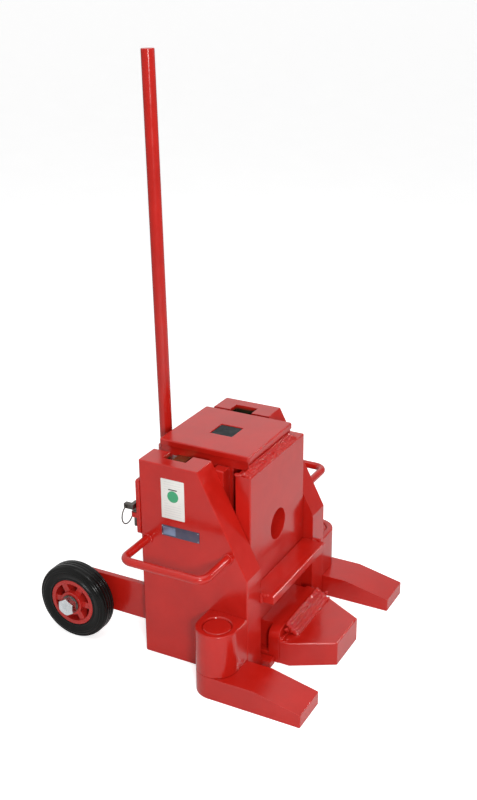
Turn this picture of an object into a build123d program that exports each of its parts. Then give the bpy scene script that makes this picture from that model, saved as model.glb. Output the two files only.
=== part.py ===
from build123d import *
import os
from math import cos, pi, radians, sin, tan

# A hydraulic toe jack on two transport wheels.
# +Z is up, -Y is the toe side, +Y is the wheel side, and -X is the side with the labels.
# The origin is on the floor, at the middle of the housing's footprint.

# Bay between the cheeks, and the housing round it
bay_half_width = 151.0
cheek_thickness = 70.0
cheek_height = 530.0
cheek_top_depth = 160.0
shoulder_height = 275.0
cheek_corner_radius = 6.0
plate_edge = 2.0
base_thickness = 30.0
base_front_inset = 105.0
rear_wall_thickness = 20.0
rear_wall_drop = 50.0

# Front to rear, what the bay holds
front_plate_setback = 28.0
front_plate_thickness = 40.0
neck_depth = 24.0
channel_front_thickness = 15.0
cylinder_front_gap = 3.5
tank_gap = 6.5
tank_depth = 33.0

# Ram and cylinder
ram_radius = 42.5
piston_step = 5.5
cylinder_wall = 12.0
cylinder_top_drop = 100.0
cylinder_floor = 30.0
piston_height = 38.0
piston_rest_gap = 2.0
seal_height = 8.0
gland_lip = 2.0
gland_height = 26.0
gland_notch_width = 10.0
gland_notch_depth = 6.0
wiper_height = 5.0
wiper_width = 7.5
running_clearance = 0.06
free_clearance = 0.3

# Carriage
side_clearance = 2.2
shoe_width = 35.8
front_plate_hole_radius = 40.0
front_plate_hole_height = 318.0
floor_clearance = 1.0
head_rise = 12.5
head_plate_depth = 247.0
head_plate_thickness = 15.0
head_corner = 4.0
head_step = 4.5
head_block_thickness = 23.5
pad_size = 60.0
pad_thickness = 6.0
pad_recess = 2.0
pad_clearance = 0.4
neck_half_width = 75.0
channel_wall = 16.0
channel_bottom = 150.0
channel_rear_gap = 29.0

# Guide bars on the cheeks and the shoes that run behind them
guide_bar_width = 32.0
guide_bar_depth = 32.0
guide_bar_lead = 24.0
guide_bar_drop = 22.0
guide_clearance = 1.0
shoe_depth = 25.0
shoe_drop = 60.0

# Keeper bar across the front, which ends the stroke
stroke = 85.0
stroke_margin = 5.0
keeper_height = 22.0
keeper_proud = 35.0
keeper_clearance = 1.5

# Sills on the floor beside the root of the toe
sill_clearance = 3.0
sill_height = 18.0
sill_proud = 25.0
sill_edge = 2.0

# Toe
toe_thickness = 64.0
toe_half_width = 121.0
toe_tip_half_width = 63.0
toe_length = 131.5
toe_straight = 28.0
toe_edge = 2.5
toe_root_depth = 63.0
toe_root_front_depth = 29.0
toe_root_side = 1.0
toe_root_rear_half_width = 95.0
toe_root_rise = 29.0
toe_root_corner = 26.0

# Pockets in the tops of the cheeks, and the return springs in them
pocket_width = 36.0
pocket_length = 63.0
pocket_rear_inset = 48.0
pocket_floor = 40.0
spring_radius = 14.0
spring_wire = 4.0
spring_wall_gap = 4.0
hook_drop = 22.0
hook_thickness = 20.0
hook_depth = 34.0
hook_overhang = 12.0
hook_corner = 5.0
spring_anchor_radius = 7.0
spring_anchor_height = 12.0

# Swivel feet
foot_pin_radius = 35.0
boss_wall = 17.0
boss_height = 112.5
boss_mouth = 3.0
boss_front_inset = 0.5
foot_side_clearance = 2.0
foot_root_thickness = 60.0
foot_tip_thickness = 34.0
foot_reach = 240.5
foot_flat = 118.0
foot_gap = 0.5
foot_edge = 2.0
foot_pin_recess = 2.0
foot_pin_edge = 3.0
foot_pin_seat = 0.02

# Lifting handles
handle_radius = 10.0
handle_out = 116.0
handle_height = 323.5
handle_front_inset = 51.0
handle_rear_inset = 19.0
handle_bend = 26.0

# Wheels
wheel_radius = 100.0
wheel_width = 52.0
wheel_set_back = 197.0
tyre_depth = 38.0
tyre_shoulder = 13.0
rim_width = 46.0
rim_ring = 10.0
rim_web = 6.0
hub_wall = 11.0
hub_length = 58.0
rib_count = 6
rib_thickness = 16.0
rib_recess = 4.0
bush_wall = 5.0

# Wheel arms and axle bolts
arm_inset = 31.5
arm_thickness = 14.0
arm_below_axle = 32.0
arm_above_axle = 67.0
arm_overhang = 38.0
arm_corner = 18.0
axle_radius = 15.0
axle_head_flats = 41.0
axle_head_height = 19.0
axle_nut_height = 20.0
axle_thread_end = 4.0
axle_washer_rim = 9.0
axle_washer_thickness = 3.5
spacer_rim = 9.0
spacer_length = 11.0
hub_end_play = 0.5

# Yoke plate behind the housing
yoke_thickness = 10.0
yoke_drop = 56.0
yoke_height = 144.0
yoke_edge = 4.0
yoke_bolt_side_inset = 41.0
yoke_bolt_inset = 26.0
yoke_bolt_flats = 24.0
yoke_bolt_head = 10.0

# Pump
pump_half_width = 34.0
pump_depth = 89.0
pump_bottom = 150.0
pump_height = 95.0
pump_corner = 8.0
plunger_radius = 9.0
plunger_eye_wall = 8.0
plunger_eye_half_width = 14.0
plunger_pin_radius = 6.0
plunger_pin_end = 4.0
plunger_depth = 50.0
plunger_bore_depth = 80.0
pump_gland_flats = 32.0
pump_gland_height = 13.0
lever_arm = 33.0
lever_pivot_reach = 15.0
lever_pivot_height = 352.0
lever_swing = 35.0
lever_plate_gap = 2.0
lever_plate_thickness = 8.0
lever_boss_radius = 15.0
lever_slot_clearance = 1.3
pivot_pin_radius = 8.0
pivot_collar = 4.0
pivot_pin_end = 7.0
ear_gap = 1.0
ear_thickness = 10.0
ear_half_height = 19.0
release_back = 33.0
release_above = 36.0
release_stem_radius = 6.0
release_stem_depth = 24.0
release_stand_off = 9.0
release_knob_radius = 16.0
release_knob_thickness = 12.0
release_grips = 8
release_grip_share = 0.24

# Pole and its socket
pole_radius = 16.0
pole_wall = 4.0
pole_length = 1063.5
pole_edge = 1.5
pole_lean = 0.97
pole_offset = 28.2
socket_wall = 5.4
socket_above_pivot = 20.0
socket_floor = 6.0
socket_length = 98.0
socket_clearance = 0.1
socket_web_overlap = 30.0

# Oil tank and pressure pipe
tank_half_width = 90.0
tank_bottom = 80.0
tank_top_drop = 110.0
tank_corner = 6.0
filler_flats = 26.0
filler_height = 9.0
filler_x = 55.0
pipe_radius = 7.0
pipe_height = 50.0
elbow_wall = 4.2

# Linch pin and its ring
linch_side_inset = 10.0
linch_reach = 8.0
linch_radius = 5.0
linch_length = 52.0
linch_collar = 3.0
linch_collar_height = 4.0
linch_head_height = 12.0
linch_head_side = 6.0
lug_below_yoke_top = 102.0
lug_height = 12.0
lug_reach = 17.0
lug_half_width = 10.0
lug_corner = 4.0
ring_radius = 24.0
ring_wire = 1.6
ring_side_offset = 15.0
ring_gap = 4.0
ring_hole_clearance = 1.2

# Places that follow from the sizes above
inner_x = bay_half_width
half_width = bay_half_width + cheek_thickness
bore_radius = ram_radius + piston_step
cylinder_radius = bore_radius + cylinder_wall
gland_radius = cylinder_radius + gland_lip
housing_depth = (
    front_plate_setback + front_plate_thickness + neck_depth + channel_front_thickness
    + cylinder_front_gap + 2 * cylinder_radius + tank_gap + tank_depth + rear_wall_thickness
)
housing_front = -housing_depth / 2
housing_rear = housing_depth / 2
shoulder_y = housing_rear - cheek_top_depth
base_front_y = housing_front + base_front_inset
rear_wall_y = housing_rear - rear_wall_thickness
rear_wall_height = cheek_height - rear_wall_drop
tank_front_y = rear_wall_y - tank_depth
tank_top = cheek_height - tank_top_drop
plate_front_y = housing_front + front_plate_setback
plate_rear_y = plate_front_y + front_plate_thickness
plate_half_width = inner_x - side_clearance
channel_front_y = plate_rear_y + neck_depth
channel_rear_y = rear_wall_y - channel_rear_gap
ram_y = channel_front_y + channel_front_thickness + cylinder_front_gap + cylinder_radius
cylinder_top = cheek_height - cylinder_top_drop
head_block_half_width = plate_half_width - shoe_width
head_plate_half_width = head_block_half_width + head_step
head_top = cheek_height + head_rise
head_plate_bottom = head_top - head_plate_thickness
head_block_bottom = head_plate_bottom - head_block_thickness
head_front_y = ram_y - head_plate_depth / 2
head_rear_y = ram_y + head_plate_depth / 2
guide_bar_rear_y = channel_front_y + channel_front_thickness + guide_bar_lead
guide_bar_top = cheek_height - guide_bar_drop
shoe_top = cheek_height - shoe_drop
toe_top = floor_clearance + toe_thickness
toe_root_top = toe_top + toe_root_rise
toe_root_front_y = plate_front_y - toe_root_depth
keeper_bottom = toe_root_top + stroke + stroke_margin
keeper_top = keeper_bottom + keeper_height
keeper_front_y = housing_front - keeper_proud
keeper_rear_y = plate_front_y - keeper_clearance
sill_inner_x = toe_half_width + toe_root_side + sill_clearance
sill_front_y = housing_front - sill_proud
pocket_rear_y = housing_rear - pocket_rear_inset
spring_side_x = inner_x + pocket_width / 2
spring_y = pocket_rear_y - spring_wall_gap - spring_radius
hook_top = cheek_height - hook_drop
boss_radius = foot_pin_radius + boss_wall
boss_top = foot_root_thickness + foot_gap + boss_height
pivot_x = half_width + boss_radius + foot_side_clearance
pivot_y = housing_front + boss_front_inset + boss_radius
handle_front_y = housing_front + handle_front_inset
handle_rear_y = housing_rear - handle_rear_inset
rim_radius = wheel_radius - tyre_depth
bush_radius = axle_radius + bush_wall
hub_radius = bush_radius + hub_wall
wheel_y = housing_rear + wheel_set_back
arm_outer_x = half_width - arm_inset
wheel_x = arm_outer_x + spacer_length + hub_end_play + hub_length / 2
hub_outer_x = wheel_x + hub_length / 2
yoke_rear_y = housing_rear + yoke_thickness
yoke_top = cheek_height - yoke_drop
yoke_bottom = yoke_top - yoke_height
pump_rear_y = housing_rear + pump_depth
pump_top = pump_bottom + pump_height
lever_pivot_y = yoke_rear_y + lever_pivot_reach
plunger_y = lever_pivot_y + lever_arm
plunger_eye_radius = plunger_pin_radius + plunger_eye_wall
lever_plate_inner_x = plunger_eye_half_width + lever_plate_gap
lever_plate_outer_x = lever_plate_inner_x + lever_plate_thickness
ear_inner_x = lever_plate_outer_x + ear_gap
ear_outer_x = ear_inner_x + ear_thickness
pole_axis_y = lever_pivot_y + pole_offset
socket_radius = pole_radius + socket_clearance + socket_wall
socket_bottom = lever_pivot_height + socket_above_pivot
pole_bottom = socket_bottom + socket_floor
release_y = housing_rear + release_back
release_z = pump_bottom + release_above
linch_x = linch_side_inset - half_width
linch_y = yoke_rear_y + linch_reach
lug_bottom = yoke_top - lug_below_yoke_top
linch_head_bottom = lug_bottom + lug_height + linch_collar_height + linch_radius * 2
ring_x = linch_x - ring_side_offset
ring_y = yoke_rear_y + lug_reach + ring_gap + ring_wire
ring_top_z = linch_head_bottom + linch_head_height / 2


def block(x0, x1, y0, y1, z0, z1):
    """A box between two corners."""
    centre = Pos((x0 + x1) / 2, (y0 + y1) / 2, (z0 + z1) / 2)
    return centre * Box(abs(x1 - x0), abs(y1 - y0), abs(z1 - z0))


def post(radius, x, y, z0, z1):
    """An upright round bar."""
    return Pos(x, y, (z0 + z1) / 2) * Cylinder(radius, z1 - z0)


def bar_x(radius, x0, x1, y, z):
    """A round bar that lies along X."""
    return Pos((x0 + x1) / 2, y, z) * Rot(0, 90, 0) * Cylinder(radius, abs(x1 - x0))


def bar_y(radius, x, y0, y1, z):
    """A round bar that lies along Y."""
    return Pos(x, (y0 + y1) / 2, z) * Rot(90, 0, 0) * Cylinder(radius, abs(y1 - y0))


def side_profile(points, x0, x1):
    """An outline of (y, z) points, thick from x0 to x1."""
    face = Pos(x0, 0, 0) * (Plane.YZ * Polygon(*points, align=None))
    return extrude(face, x1 - x0, dir=(1, 0, 0))


def plan_profile(points, z0, z1):
    """An outline of (x, y) points, thick from z0 to z1."""
    return extrude(Pos(0, 0, z0) * Polygon(*points, align=None), z1 - z0, dir=(0, 0, 1))


def hex_bar(flats, length):
    """A hexagon along +Z from the origin, with its corners chamfered at the far end."""
    corner_radius = flats / 2 / cos(pi / 6)
    chamfer_height = (corner_radius - flats / 2) * tan(radians(30))
    blank = extrude(RegularPolygon(corner_radius, 6), length)
    cone_height = length - chamfer_height
    profile = Polygon(
        (0, 0),
        (corner_radius + 1, 0),
        (corner_radius + 1, cone_height - 1 * tan(radians(30))),
        (flats / 2, length),
        (0, length),
        align=None,
    )
    limit = revolve(Plane.XZ * profile, Axis.Z)
    return blank & limit


def on_side(shape, side):
    """The shape as built for the +X side, or its mirror image for the -X side."""
    return shape if side > 0 else mirror(shape, about=Plane.YZ)


def edges_along(shape, axis):
    """The straight edges of a shape that run along an axis."""
    return shape.edges().filter_by(axis)


def cheek(side):
    """A thick side wall with a sloped shoulder and an open pocket for the return spring."""
    outline = [
        (housing_front, 0),
        (housing_rear, 0),
        (housing_rear, cheek_height),
        (shoulder_y, cheek_height),
        (housing_front, shoulder_height),
    ]
    wall = side_profile(outline, inner_x, half_width)
    rear_corner = edges_along(wall, Axis.Z).sort_by(Axis.Y)[-2:].sort_by(Axis.X)[-1]
    wall = fillet(rear_corner, cheek_corner_radius)
    outer_rim = wall.edges().group_by(Axis.X)[-1]
    wall = chamfer(outer_rim, plate_edge)
    pocket = block(
        inner_x - 1, inner_x + pocket_width,
        pocket_rear_y - pocket_length, pocket_rear_y,
        pocket_floor, cheek_height + 1,
    )
    return on_side(wall - pocket, side)


def base_plate():
    """The floor of the housing, between the cheeks and behind the carriage."""
    return block(-inner_x, inner_x, base_front_y, housing_rear, 0, base_thickness)


def rear_wall():
    """The wall between the cheeks at the back, with a hole for the pressure pipe."""
    wall = block(-inner_x, inner_x, rear_wall_y, housing_rear, base_thickness, rear_wall_height)
    hole = bar_y(pipe_radius, 0, rear_wall_y - 1, housing_rear + 1, pipe_height)
    return wall - hole


def guide_bar(side):
    """An upright bar on the inner face of a cheek, which the carriage shoe runs behind."""
    bar = block(
        inner_x - guide_bar_width, inner_x,
        guide_bar_rear_y - guide_bar_depth, guide_bar_rear_y,
        base_thickness, guide_bar_top,
    )
    bar = chamfer(bar.edges().group_by(Axis.Z)[-1], plate_edge)
    return on_side(bar, side)


def keeper_bar():
    """The flat bar across the front that keeps the carriage from tipping forward."""
    bar = block(
        -inner_x, inner_x, keeper_front_y, keeper_rear_y, keeper_top - keeper_height, keeper_top,
    )
    return chamfer(edges_along(bar, Axis.X).group_by(Axis.Y)[0], plate_edge)


def front_sill(side):
    """The low bar on the floor between the toe's root and the cheek."""
    sill = block(sill_inner_x, inner_x, sill_front_y, keeper_rear_y, 0, sill_height)
    return on_side(chamfer(sill.edges().group_by(Axis.Z)[-1].group_by(Axis.Y)[0], sill_edge), side)


def pivot_boss(side):
    """The boss beside the cheek that the foot's pin turns in."""
    bottom = foot_root_thickness + foot_gap
    boss = post(boss_radius, pivot_x, pivot_y, bottom, boss_top)
    boss += block(
        half_width, pivot_x, pivot_y - boss_radius, pivot_y + boss_radius, bottom, boss_top,
    )
    rim = boss.edges().group_by(Axis.Z)[-1]
    boss = chamfer(rim.filter_by(GeomType.CIRCLE), plate_edge)
    bore = post(foot_pin_radius + running_clearance, pivot_x, pivot_y, bottom - 1, boss_top + 1)
    boss -= bore
    mouth = boss.edges().filter_by(GeomType.CIRCLE).group_by(Axis.Z)[-1].sort_by(SortBy.RADIUS)[0]
    return on_side(chamfer(mouth, boss_mouth), side)


def lifting_handle(side):
    """A round bar bent into a U and welded to the cheek."""
    path = FilletPolyline(
        (half_width, handle_rear_y, handle_height),
        (half_width + handle_out, handle_rear_y, handle_height),
        (half_width + handle_out, handle_front_y, handle_height),
        (half_width, handle_front_y, handle_height),
        radius=handle_bend,
    )
    section = Plane(origin=path @ 0, z_dir=path % 0) * Circle(handle_radius)
    return on_side(sweep(section, path=path), side)


def cylinder():
    """The hydraulic cylinder, closed at its foot."""
    body = post(cylinder_radius, 0, ram_y, base_thickness, cylinder_top)
    bore = post(bore_radius, 0, ram_y, base_thickness + cylinder_floor, cylinder_top + 1)
    return body - bore


def cylinder_gland():
    """The screwed ring that guides the ram at the mouth of the cylinder."""
    ring = post(gland_radius, 0, ram_y, cylinder_top, cylinder_top + gland_height)
    ring -= post(
        ram_radius + running_clearance, 0, ram_y, cylinder_top - 1, cylinder_top + gland_height + 1,
    )
    half_notch = gland_notch_width / 2
    for quarter in range(4):
        notch = Rot(0, 0, 90 * quarter) * block(
            gland_radius - gland_notch_depth, gland_radius + 1, -half_notch, half_notch,
            cylinder_top + gland_height / 3, cylinder_top + gland_height + 1,
        )
        ring -= Pos(0, ram_y, 0) * notch
    return ring


def wiper_seal():
    """The soft ring that wipes the ram."""
    bottom = cylinder_top + gland_height
    seal = post(ram_radius + wiper_width, 0, ram_y, bottom, bottom + wiper_height)
    return seal - post(ram_radius + free_clearance, 0, ram_y, bottom - 1, bottom + wiper_height + 1)


def ram():
    """The ram with its piston, which lifts the head."""
    foot = base_thickness + cylinder_floor + piston_rest_gap
    rod = post(ram_radius, 0, ram_y, foot + piston_height, head_block_bottom)
    piston = post(bore_radius - running_clearance, 0, ram_y, foot, foot + piston_height)
    groove_low = foot + (piston_height - seal_height) / 2
    groove_high = groove_low + seal_height
    groove = post(bore_radius, 0, ram_y, groove_low, groove_high)
    groove -= post(ram_radius, 0, ram_y, groove_low, groove_high)
    return rod + piston - groove


def piston_seal():
    """The ring in the piston's groove."""
    foot = base_thickness + cylinder_floor + piston_rest_gap
    low = foot + (piston_height - seal_height) / 2
    high = low + seal_height
    return post(bore_radius - free_clearance, 0, ram_y, low, high) - post(ram_radius, 0, ram_y, low, high)


def oil_tank():
    """The flat oil tank on the rear wall, behind the cylinder."""
    tank = block(-tank_half_width, tank_half_width, tank_front_y, rear_wall_y, tank_bottom, tank_top)
    return chamfer(edges_along(tank, Axis.Z).group_by(Axis.Y)[0], tank_corner)


def filler_plug():
    """The hexagon plug on top of the oil tank."""
    middle_y = (tank_front_y + rear_wall_y) / 2
    return Pos(filler_x, middle_y, tank_top) * hex_bar(filler_flats, filler_height)


def pressure_pipe():
    """The pipe from the cylinder through the rear wall, and its elbow and riser into the pump."""
    turn_y = housing_rear + 2 * pipe_radius
    half = pipe_radius + elbow_wall
    pipe = bar_y(pipe_radius, 0, ram_y, turn_y, pipe_height)
    pipe -= post(cylinder_radius, 0, ram_y, base_thickness, cylinder_top)
    pipe += block(
        -half, half, housing_rear, turn_y + 2 * pipe_radius, pipe_height - half, pipe_height + half,
    )
    return pipe + post(pipe_radius, 0, turn_y, pipe_height, pump_bottom)


def pump_body():
    """The hand pump's block, bored for the plunger and the release screw."""
    body = block(
        -pump_half_width, pump_half_width, housing_rear, pump_rear_y, pump_bottom, pump_top,
    )
    body = chamfer(edges_along(body, Axis.Z).group_by(Axis.Y)[-1], pump_corner)
    body -= post(
        plunger_radius + running_clearance, 0, plunger_y, pump_top - plunger_bore_depth, pump_top + 1,
    )
    stem_end = -pump_half_width + release_stem_depth
    body -= bar_x(
        release_stem_radius + running_clearance, -pump_half_width - 1, stem_end + 1, release_y, release_z,
    )
    return body


def pump_gland():
    """The hexagon nut round the plunger."""
    nut = Pos(0, plunger_y, pump_top) * hex_bar(pump_gland_flats, pump_gland_height)
    return nut - post(
        plunger_radius + free_clearance, 0, plunger_y, pump_top - 1, pump_top + pump_gland_height + 1,
    )


def release_screw():
    """The release valve's stem with its scalloped knob."""
    outer = -pump_half_width - release_stand_off
    stem = bar_x(
        release_stem_radius, outer, -pump_half_width + release_stem_depth, release_y, release_z,
    )
    knob = bar_x(
        release_knob_radius, outer - release_knob_thickness, outer, release_y, release_z,
    )
    grip_radius = release_knob_radius * release_grip_share
    grip_circle = release_knob_radius + grip_radius / 3
    for index in range(release_grips):
        angle = 2 * pi * index / release_grips
        knob -= bar_x(
            grip_radius, outer - release_knob_thickness - 1, outer + 1,
            release_y + grip_circle * cos(angle), release_z + grip_circle * sin(angle),
        )
    return stem + knob


def yoke_plate():
    """The plate behind the housing that carries the pump lever."""
    plate = block(-half_width, half_width, housing_rear, yoke_rear_y, yoke_bottom, yoke_top)
    corners = edges_along(plate, Axis.Y)
    return chamfer(corners, yoke_edge)


def lever_bracket():
    """The two ears that hold the lever's pivot pin."""
    ears = None
    for side in (-1, 1):
        x0 = side * ear_inner_x
        x1 = side * ear_outer_x
        low = lever_pivot_height - ear_half_height
        high = lever_pivot_height + ear_half_height
        ear = block(x0, x1, yoke_rear_y, lever_pivot_y, low, high)
        ear += bar_x(ear_half_height, x0, x1, lever_pivot_y, lever_pivot_height)
        ear -= block(x0, x1, yoke_rear_y - ear_half_height, yoke_rear_y, low, high)
        ear -= bar_x(pivot_pin_radius, x0 - side, x1 + side, lever_pivot_y, lever_pivot_height)
        ears = ear if ears is None else ears + ear
    return ears


def pivot_pin():
    """The pin that the pump lever swings on, with a head and a collar."""
    length = ear_outer_x + pivot_pin_end
    pin = bar_x(pivot_pin_radius, -length, length, lever_pivot_y, lever_pivot_height)
    for side in (-1, 1):
        pin += bar_x(
            pivot_pin_radius + pivot_collar, side * ear_outer_x, side * (ear_outer_x + pivot_collar),
            lever_pivot_y, lever_pivot_height,
        )
    return pin


def lean(shape):
    """A piece of the pump lever, tipped back with the pole at rest."""
    hinge = Axis((0, lever_pivot_y, lever_pivot_height), (-1, 0, 0))
    return shape.rotate(hinge, pole_lean)


def pump_lever():
    """Two link plates with the socket for the pole, welded into one piece."""
    slot_end_y = lever_pivot_y + lever_arm / cos(radians(lever_swing))
    slot_radius = plunger_pin_radius + lever_slot_clearance
    web = socket_radius * cos(radians(45))
    lever = None
    for side in (-1, 1):
        x0 = side * lever_plate_inner_x
        x1 = side * lever_plate_outer_x
        plate = bar_x(lever_boss_radius, x0, x1, lever_pivot_y, lever_pivot_height)
        plate += bar_x(lever_boss_radius, x0, x1, slot_end_y, lever_pivot_height)
        plate += block(
            x0, x1, lever_pivot_y, slot_end_y,
            lever_pivot_height - lever_boss_radius, lever_pivot_height + lever_boss_radius,
        )
        plate += block(
            x0, x1, pole_axis_y - web, pole_axis_y + web,
            lever_pivot_height, socket_bottom + socket_web_overlap,
        )
        lever = plate if lever is None else lever + plate
    lever += post(socket_radius, 0, pole_axis_y, socket_bottom, socket_bottom + socket_length)
    lever -= post(
        pole_radius + socket_clearance, 0, pole_axis_y, pole_bottom, socket_bottom + socket_length + 1,
    )
    far_x = lever_plate_outer_x + 1
    lever -= bar_x(
        pivot_pin_radius + running_clearance, -far_x, far_x, lever_pivot_y, lever_pivot_height,
    )
    slot = block(
        -far_x, far_x, plunger_y, slot_end_y,
        lever_pivot_height - slot_radius, lever_pivot_height + slot_radius,
    )
    slot += bar_x(slot_radius, -far_x, far_x, plunger_y, lever_pivot_height)
    slot += bar_x(slot_radius, -far_x, far_x, slot_end_y, lever_pivot_height)
    return lean(lever - slot)


def pole():
    """The long tube that works the pump and steers the jack when it is wheeled."""
    top = pole_bottom + pole_length
    tube = post(pole_radius, 0, pole_axis_y, pole_bottom, top)
    tube = chamfer(tube.edges().filter_by(GeomType.CIRCLE).group_by(Axis.Z)[-1], pole_edge)
    tube -= post(pole_radius - pole_wall, 0, pole_axis_y, pole_bottom - 1, top - pole_wall)
    return lean(tube)


def pump_plunger():
    """The pump's plunger with the eye that the lever drives."""
    rod = post(plunger_radius, 0, plunger_y, pump_top - plunger_depth, lever_pivot_height)
    eye = bar_x(
        plunger_eye_radius, -plunger_eye_half_width, plunger_eye_half_width, plunger_y, lever_pivot_height,
    )
    hole = bar_x(
        plunger_pin_radius + running_clearance,
        -plunger_eye_half_width - 1, plunger_eye_half_width + 1, plunger_y, lever_pivot_height,
    )
    return rod + eye - hole


def plunger_pin():
    """The cross pin in the plunger's eye."""
    length = lever_plate_outer_x + plunger_pin_end
    return bar_x(plunger_pin_radius, -length, length, plunger_y, lever_pivot_height)


def yoke_bolts():
    """The hexagon heads that hold the yoke plate."""
    heads = []
    bolt_x = half_width - yoke_bolt_side_inset
    for x in (-bolt_x, bolt_x):
        for z in (yoke_bottom + yoke_bolt_inset, yoke_top - yoke_bolt_inset):
            head = Pos(x, yoke_rear_y, z) * Rot(-90, 0, 0) * hex_bar(yoke_bolt_flats, yoke_bolt_head)
            heads.append(head)
    return Compound(children=heads)


def head_plate():
    """The load plate on top of the carriage, with a square recess for its pad."""
    plate = block(
        -head_plate_half_width, head_plate_half_width,
        head_front_y, head_rear_y, head_plate_bottom, head_top,
    )
    plate = chamfer(edges_along(plate, Axis.Z), head_corner)
    plate = chamfer(plate.edges().group_by(Axis.Z)[-1], plate_edge)
    half = pad_size / 2 + pad_clearance
    recess = block(
        -half, half, ram_y - half, ram_y + half, head_top - pad_thickness - pad_recess, head_top + 1,
    )
    return plate - recess


def head_pad():
    """The square grip pad in the head plate."""
    half = pad_size / 2
    top = head_top - pad_recess
    pad = block(-half, half, ram_y - half, ram_y + half, top - pad_thickness, top)
    return chamfer(pad.edges().group_by(Axis.Z)[-1], 1)


def head_block():
    """The thick plate under the head plate, on top of the front plate and the channel."""
    return block(
        -head_block_half_width, head_block_half_width,
        head_front_y + head_step, head_rear_y - head_step, head_block_bottom, head_plate_bottom,
    )


def front_plate():
    """The thick plate of the carriage between the cheeks, with a round blind hole."""
    plate = block(
        -plate_half_width, plate_half_width, plate_front_y, plate_rear_y, floor_clearance, head_block_bottom,
    )
    plate = chamfer(plate.edges().group_by(Axis.Y)[0], plate_edge)
    hole = bar_y(
        front_plate_hole_radius, 0, plate_front_y - 1, plate_rear_y + 1, front_plate_hole_height,
    )
    return plate - hole


def carriage_neck():
    """The narrow web between the front plate and the channel."""
    return block(
        -neck_half_width, neck_half_width, plate_rear_y, channel_front_y, channel_bottom, head_block_bottom,
    )


def carriage_channel():
    """The U-shaped channel of the carriage, round the cylinder."""
    half = head_block_half_width
    channel = block(-half, half, channel_front_y, channel_rear_y, channel_bottom, head_block_bottom)
    inside = block(
        -half + channel_wall, half - channel_wall,
        channel_front_y + channel_front_thickness, channel_rear_y + 1,
        channel_bottom - 1, head_block_bottom + 1,
    )
    return channel - inside


def guide_shoe(side):
    """The shoe on the channel that runs behind the guide bar."""
    front = guide_bar_rear_y + guide_clearance
    shoe = block(
        head_block_half_width, plate_half_width, front, front + shoe_depth, channel_bottom, shoe_top,
    )
    return on_side(shoe, side)


def spring_hook(side):
    """The plated hook on the channel that the return spring pulls on."""
    hook = block(
        head_block_half_width, spring_side_x + hook_overhang,
        spring_y - hook_depth / 2, spring_y + hook_depth / 2,
        hook_top - hook_thickness, hook_top,
    )
    hook = chamfer(edges_along(hook, Axis.Z).group_by(Axis.X)[-1], hook_corner)
    return on_side(hook, side)


def return_spring(side):
    """The closely wound return spring, as the sleeve that its coils fill."""
    bottom = pocket_floor + spring_anchor_height
    top = hook_top - hook_thickness
    sleeve = post(spring_radius, spring_side_x, spring_y, bottom, top)
    sleeve -= post(spring_radius - spring_wire, spring_side_x, spring_y, bottom - 1, top + 1)
    return on_side(sleeve, side)


def spring_anchor(side):
    """The stud at the foot of the pocket that holds the return spring."""
    plate = post(spring_radius, spring_side_x, spring_y, pocket_floor, pocket_floor + spring_anchor_height)
    stud = post(
        spring_anchor_radius, spring_side_x, spring_y,
        pocket_floor + spring_anchor_height, pocket_floor + 2 * spring_anchor_height,
    )
    return on_side(plate + stud, side)


def toe_root():
    """The upright root of the toe, in front of the front plate."""
    middle_y = toe_root_front_y + toe_root_front_depth
    half = toe_half_width + toe_root_side
    face = Rectangle(2 * half, toe_root_top - floor_clearance)
    face = fillet(face.vertices().group_by(Axis.Y)[-1], toe_root_corner)
    centre_z = (toe_root_top + floor_clearance) / 2
    upright = Pos(0, middle_y, centre_z) * (Plane.XZ * face)
    root = extrude(upright, toe_root_front_depth)
    root += block(
        -toe_root_rear_half_width, toe_root_rear_half_width,
        middle_y, plate_front_y, floor_clearance, toe_root_top,
    )
    return root


def toe():
    """The flat lifting toe, narrowed towards its tip."""
    straight_end = toe_root_front_y - toe_straight
    tip = toe_root_front_y - toe_length
    outline = [
        (-toe_half_width, toe_root_front_y),
        (-toe_half_width, straight_end),
        (-toe_tip_half_width, tip),
        (toe_tip_half_width, tip),
        (toe_half_width, straight_end),
        (toe_half_width, toe_root_front_y),
    ]
    blade = plan_profile(outline, floor_clearance, toe_top)
    top_rim = blade.edges().group_by(Axis.Z)[-1].sort_by(Axis.Y)[:-1]
    return chamfer(top_rim, toe_edge)


def foot(side):
    """A swivel foot: round at its pin, straight sided, and thinner towards its tip."""
    tip_y = pivot_y - foot_reach
    outline = [
        (pivot_y, 0),
        (tip_y, 0),
        (tip_y, foot_tip_thickness),
        (pivot_y - foot_flat, foot_root_thickness),
        (pivot_y, foot_root_thickness),
    ]
    body = side_profile(outline, pivot_x - boss_radius, pivot_x + boss_radius)
    body += post(boss_radius, pivot_x, pivot_y, 0, foot_root_thickness)
    corners = edges_along(body, Axis.Z).group_by(Axis.Y)[0]
    body = chamfer(corners, foot_edge)
    hole = post(foot_pin_radius + foot_pin_seat, pivot_x, pivot_y, -1, foot_root_thickness + 1)
    return on_side(body - hole, side)


def foot_pin(side):
    """The upright pin of a foot, which turns in the boss."""
    pin = post(foot_pin_radius, pivot_x, pivot_y, foot_edge, boss_top - foot_pin_recess)
    pin = chamfer(pin.edges().filter_by(GeomType.CIRCLE).group_by(Axis.Z)[-1], foot_pin_edge)
    return on_side(pin, side)


def wheel_place(shape, side):
    """A wheel piece, built round Z with its outer face up, set on its axle."""
    turn = Rot(0, 90 * side, 0)
    return Pos(side * wheel_x, wheel_y, wheel_radius) * turn * shape


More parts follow.
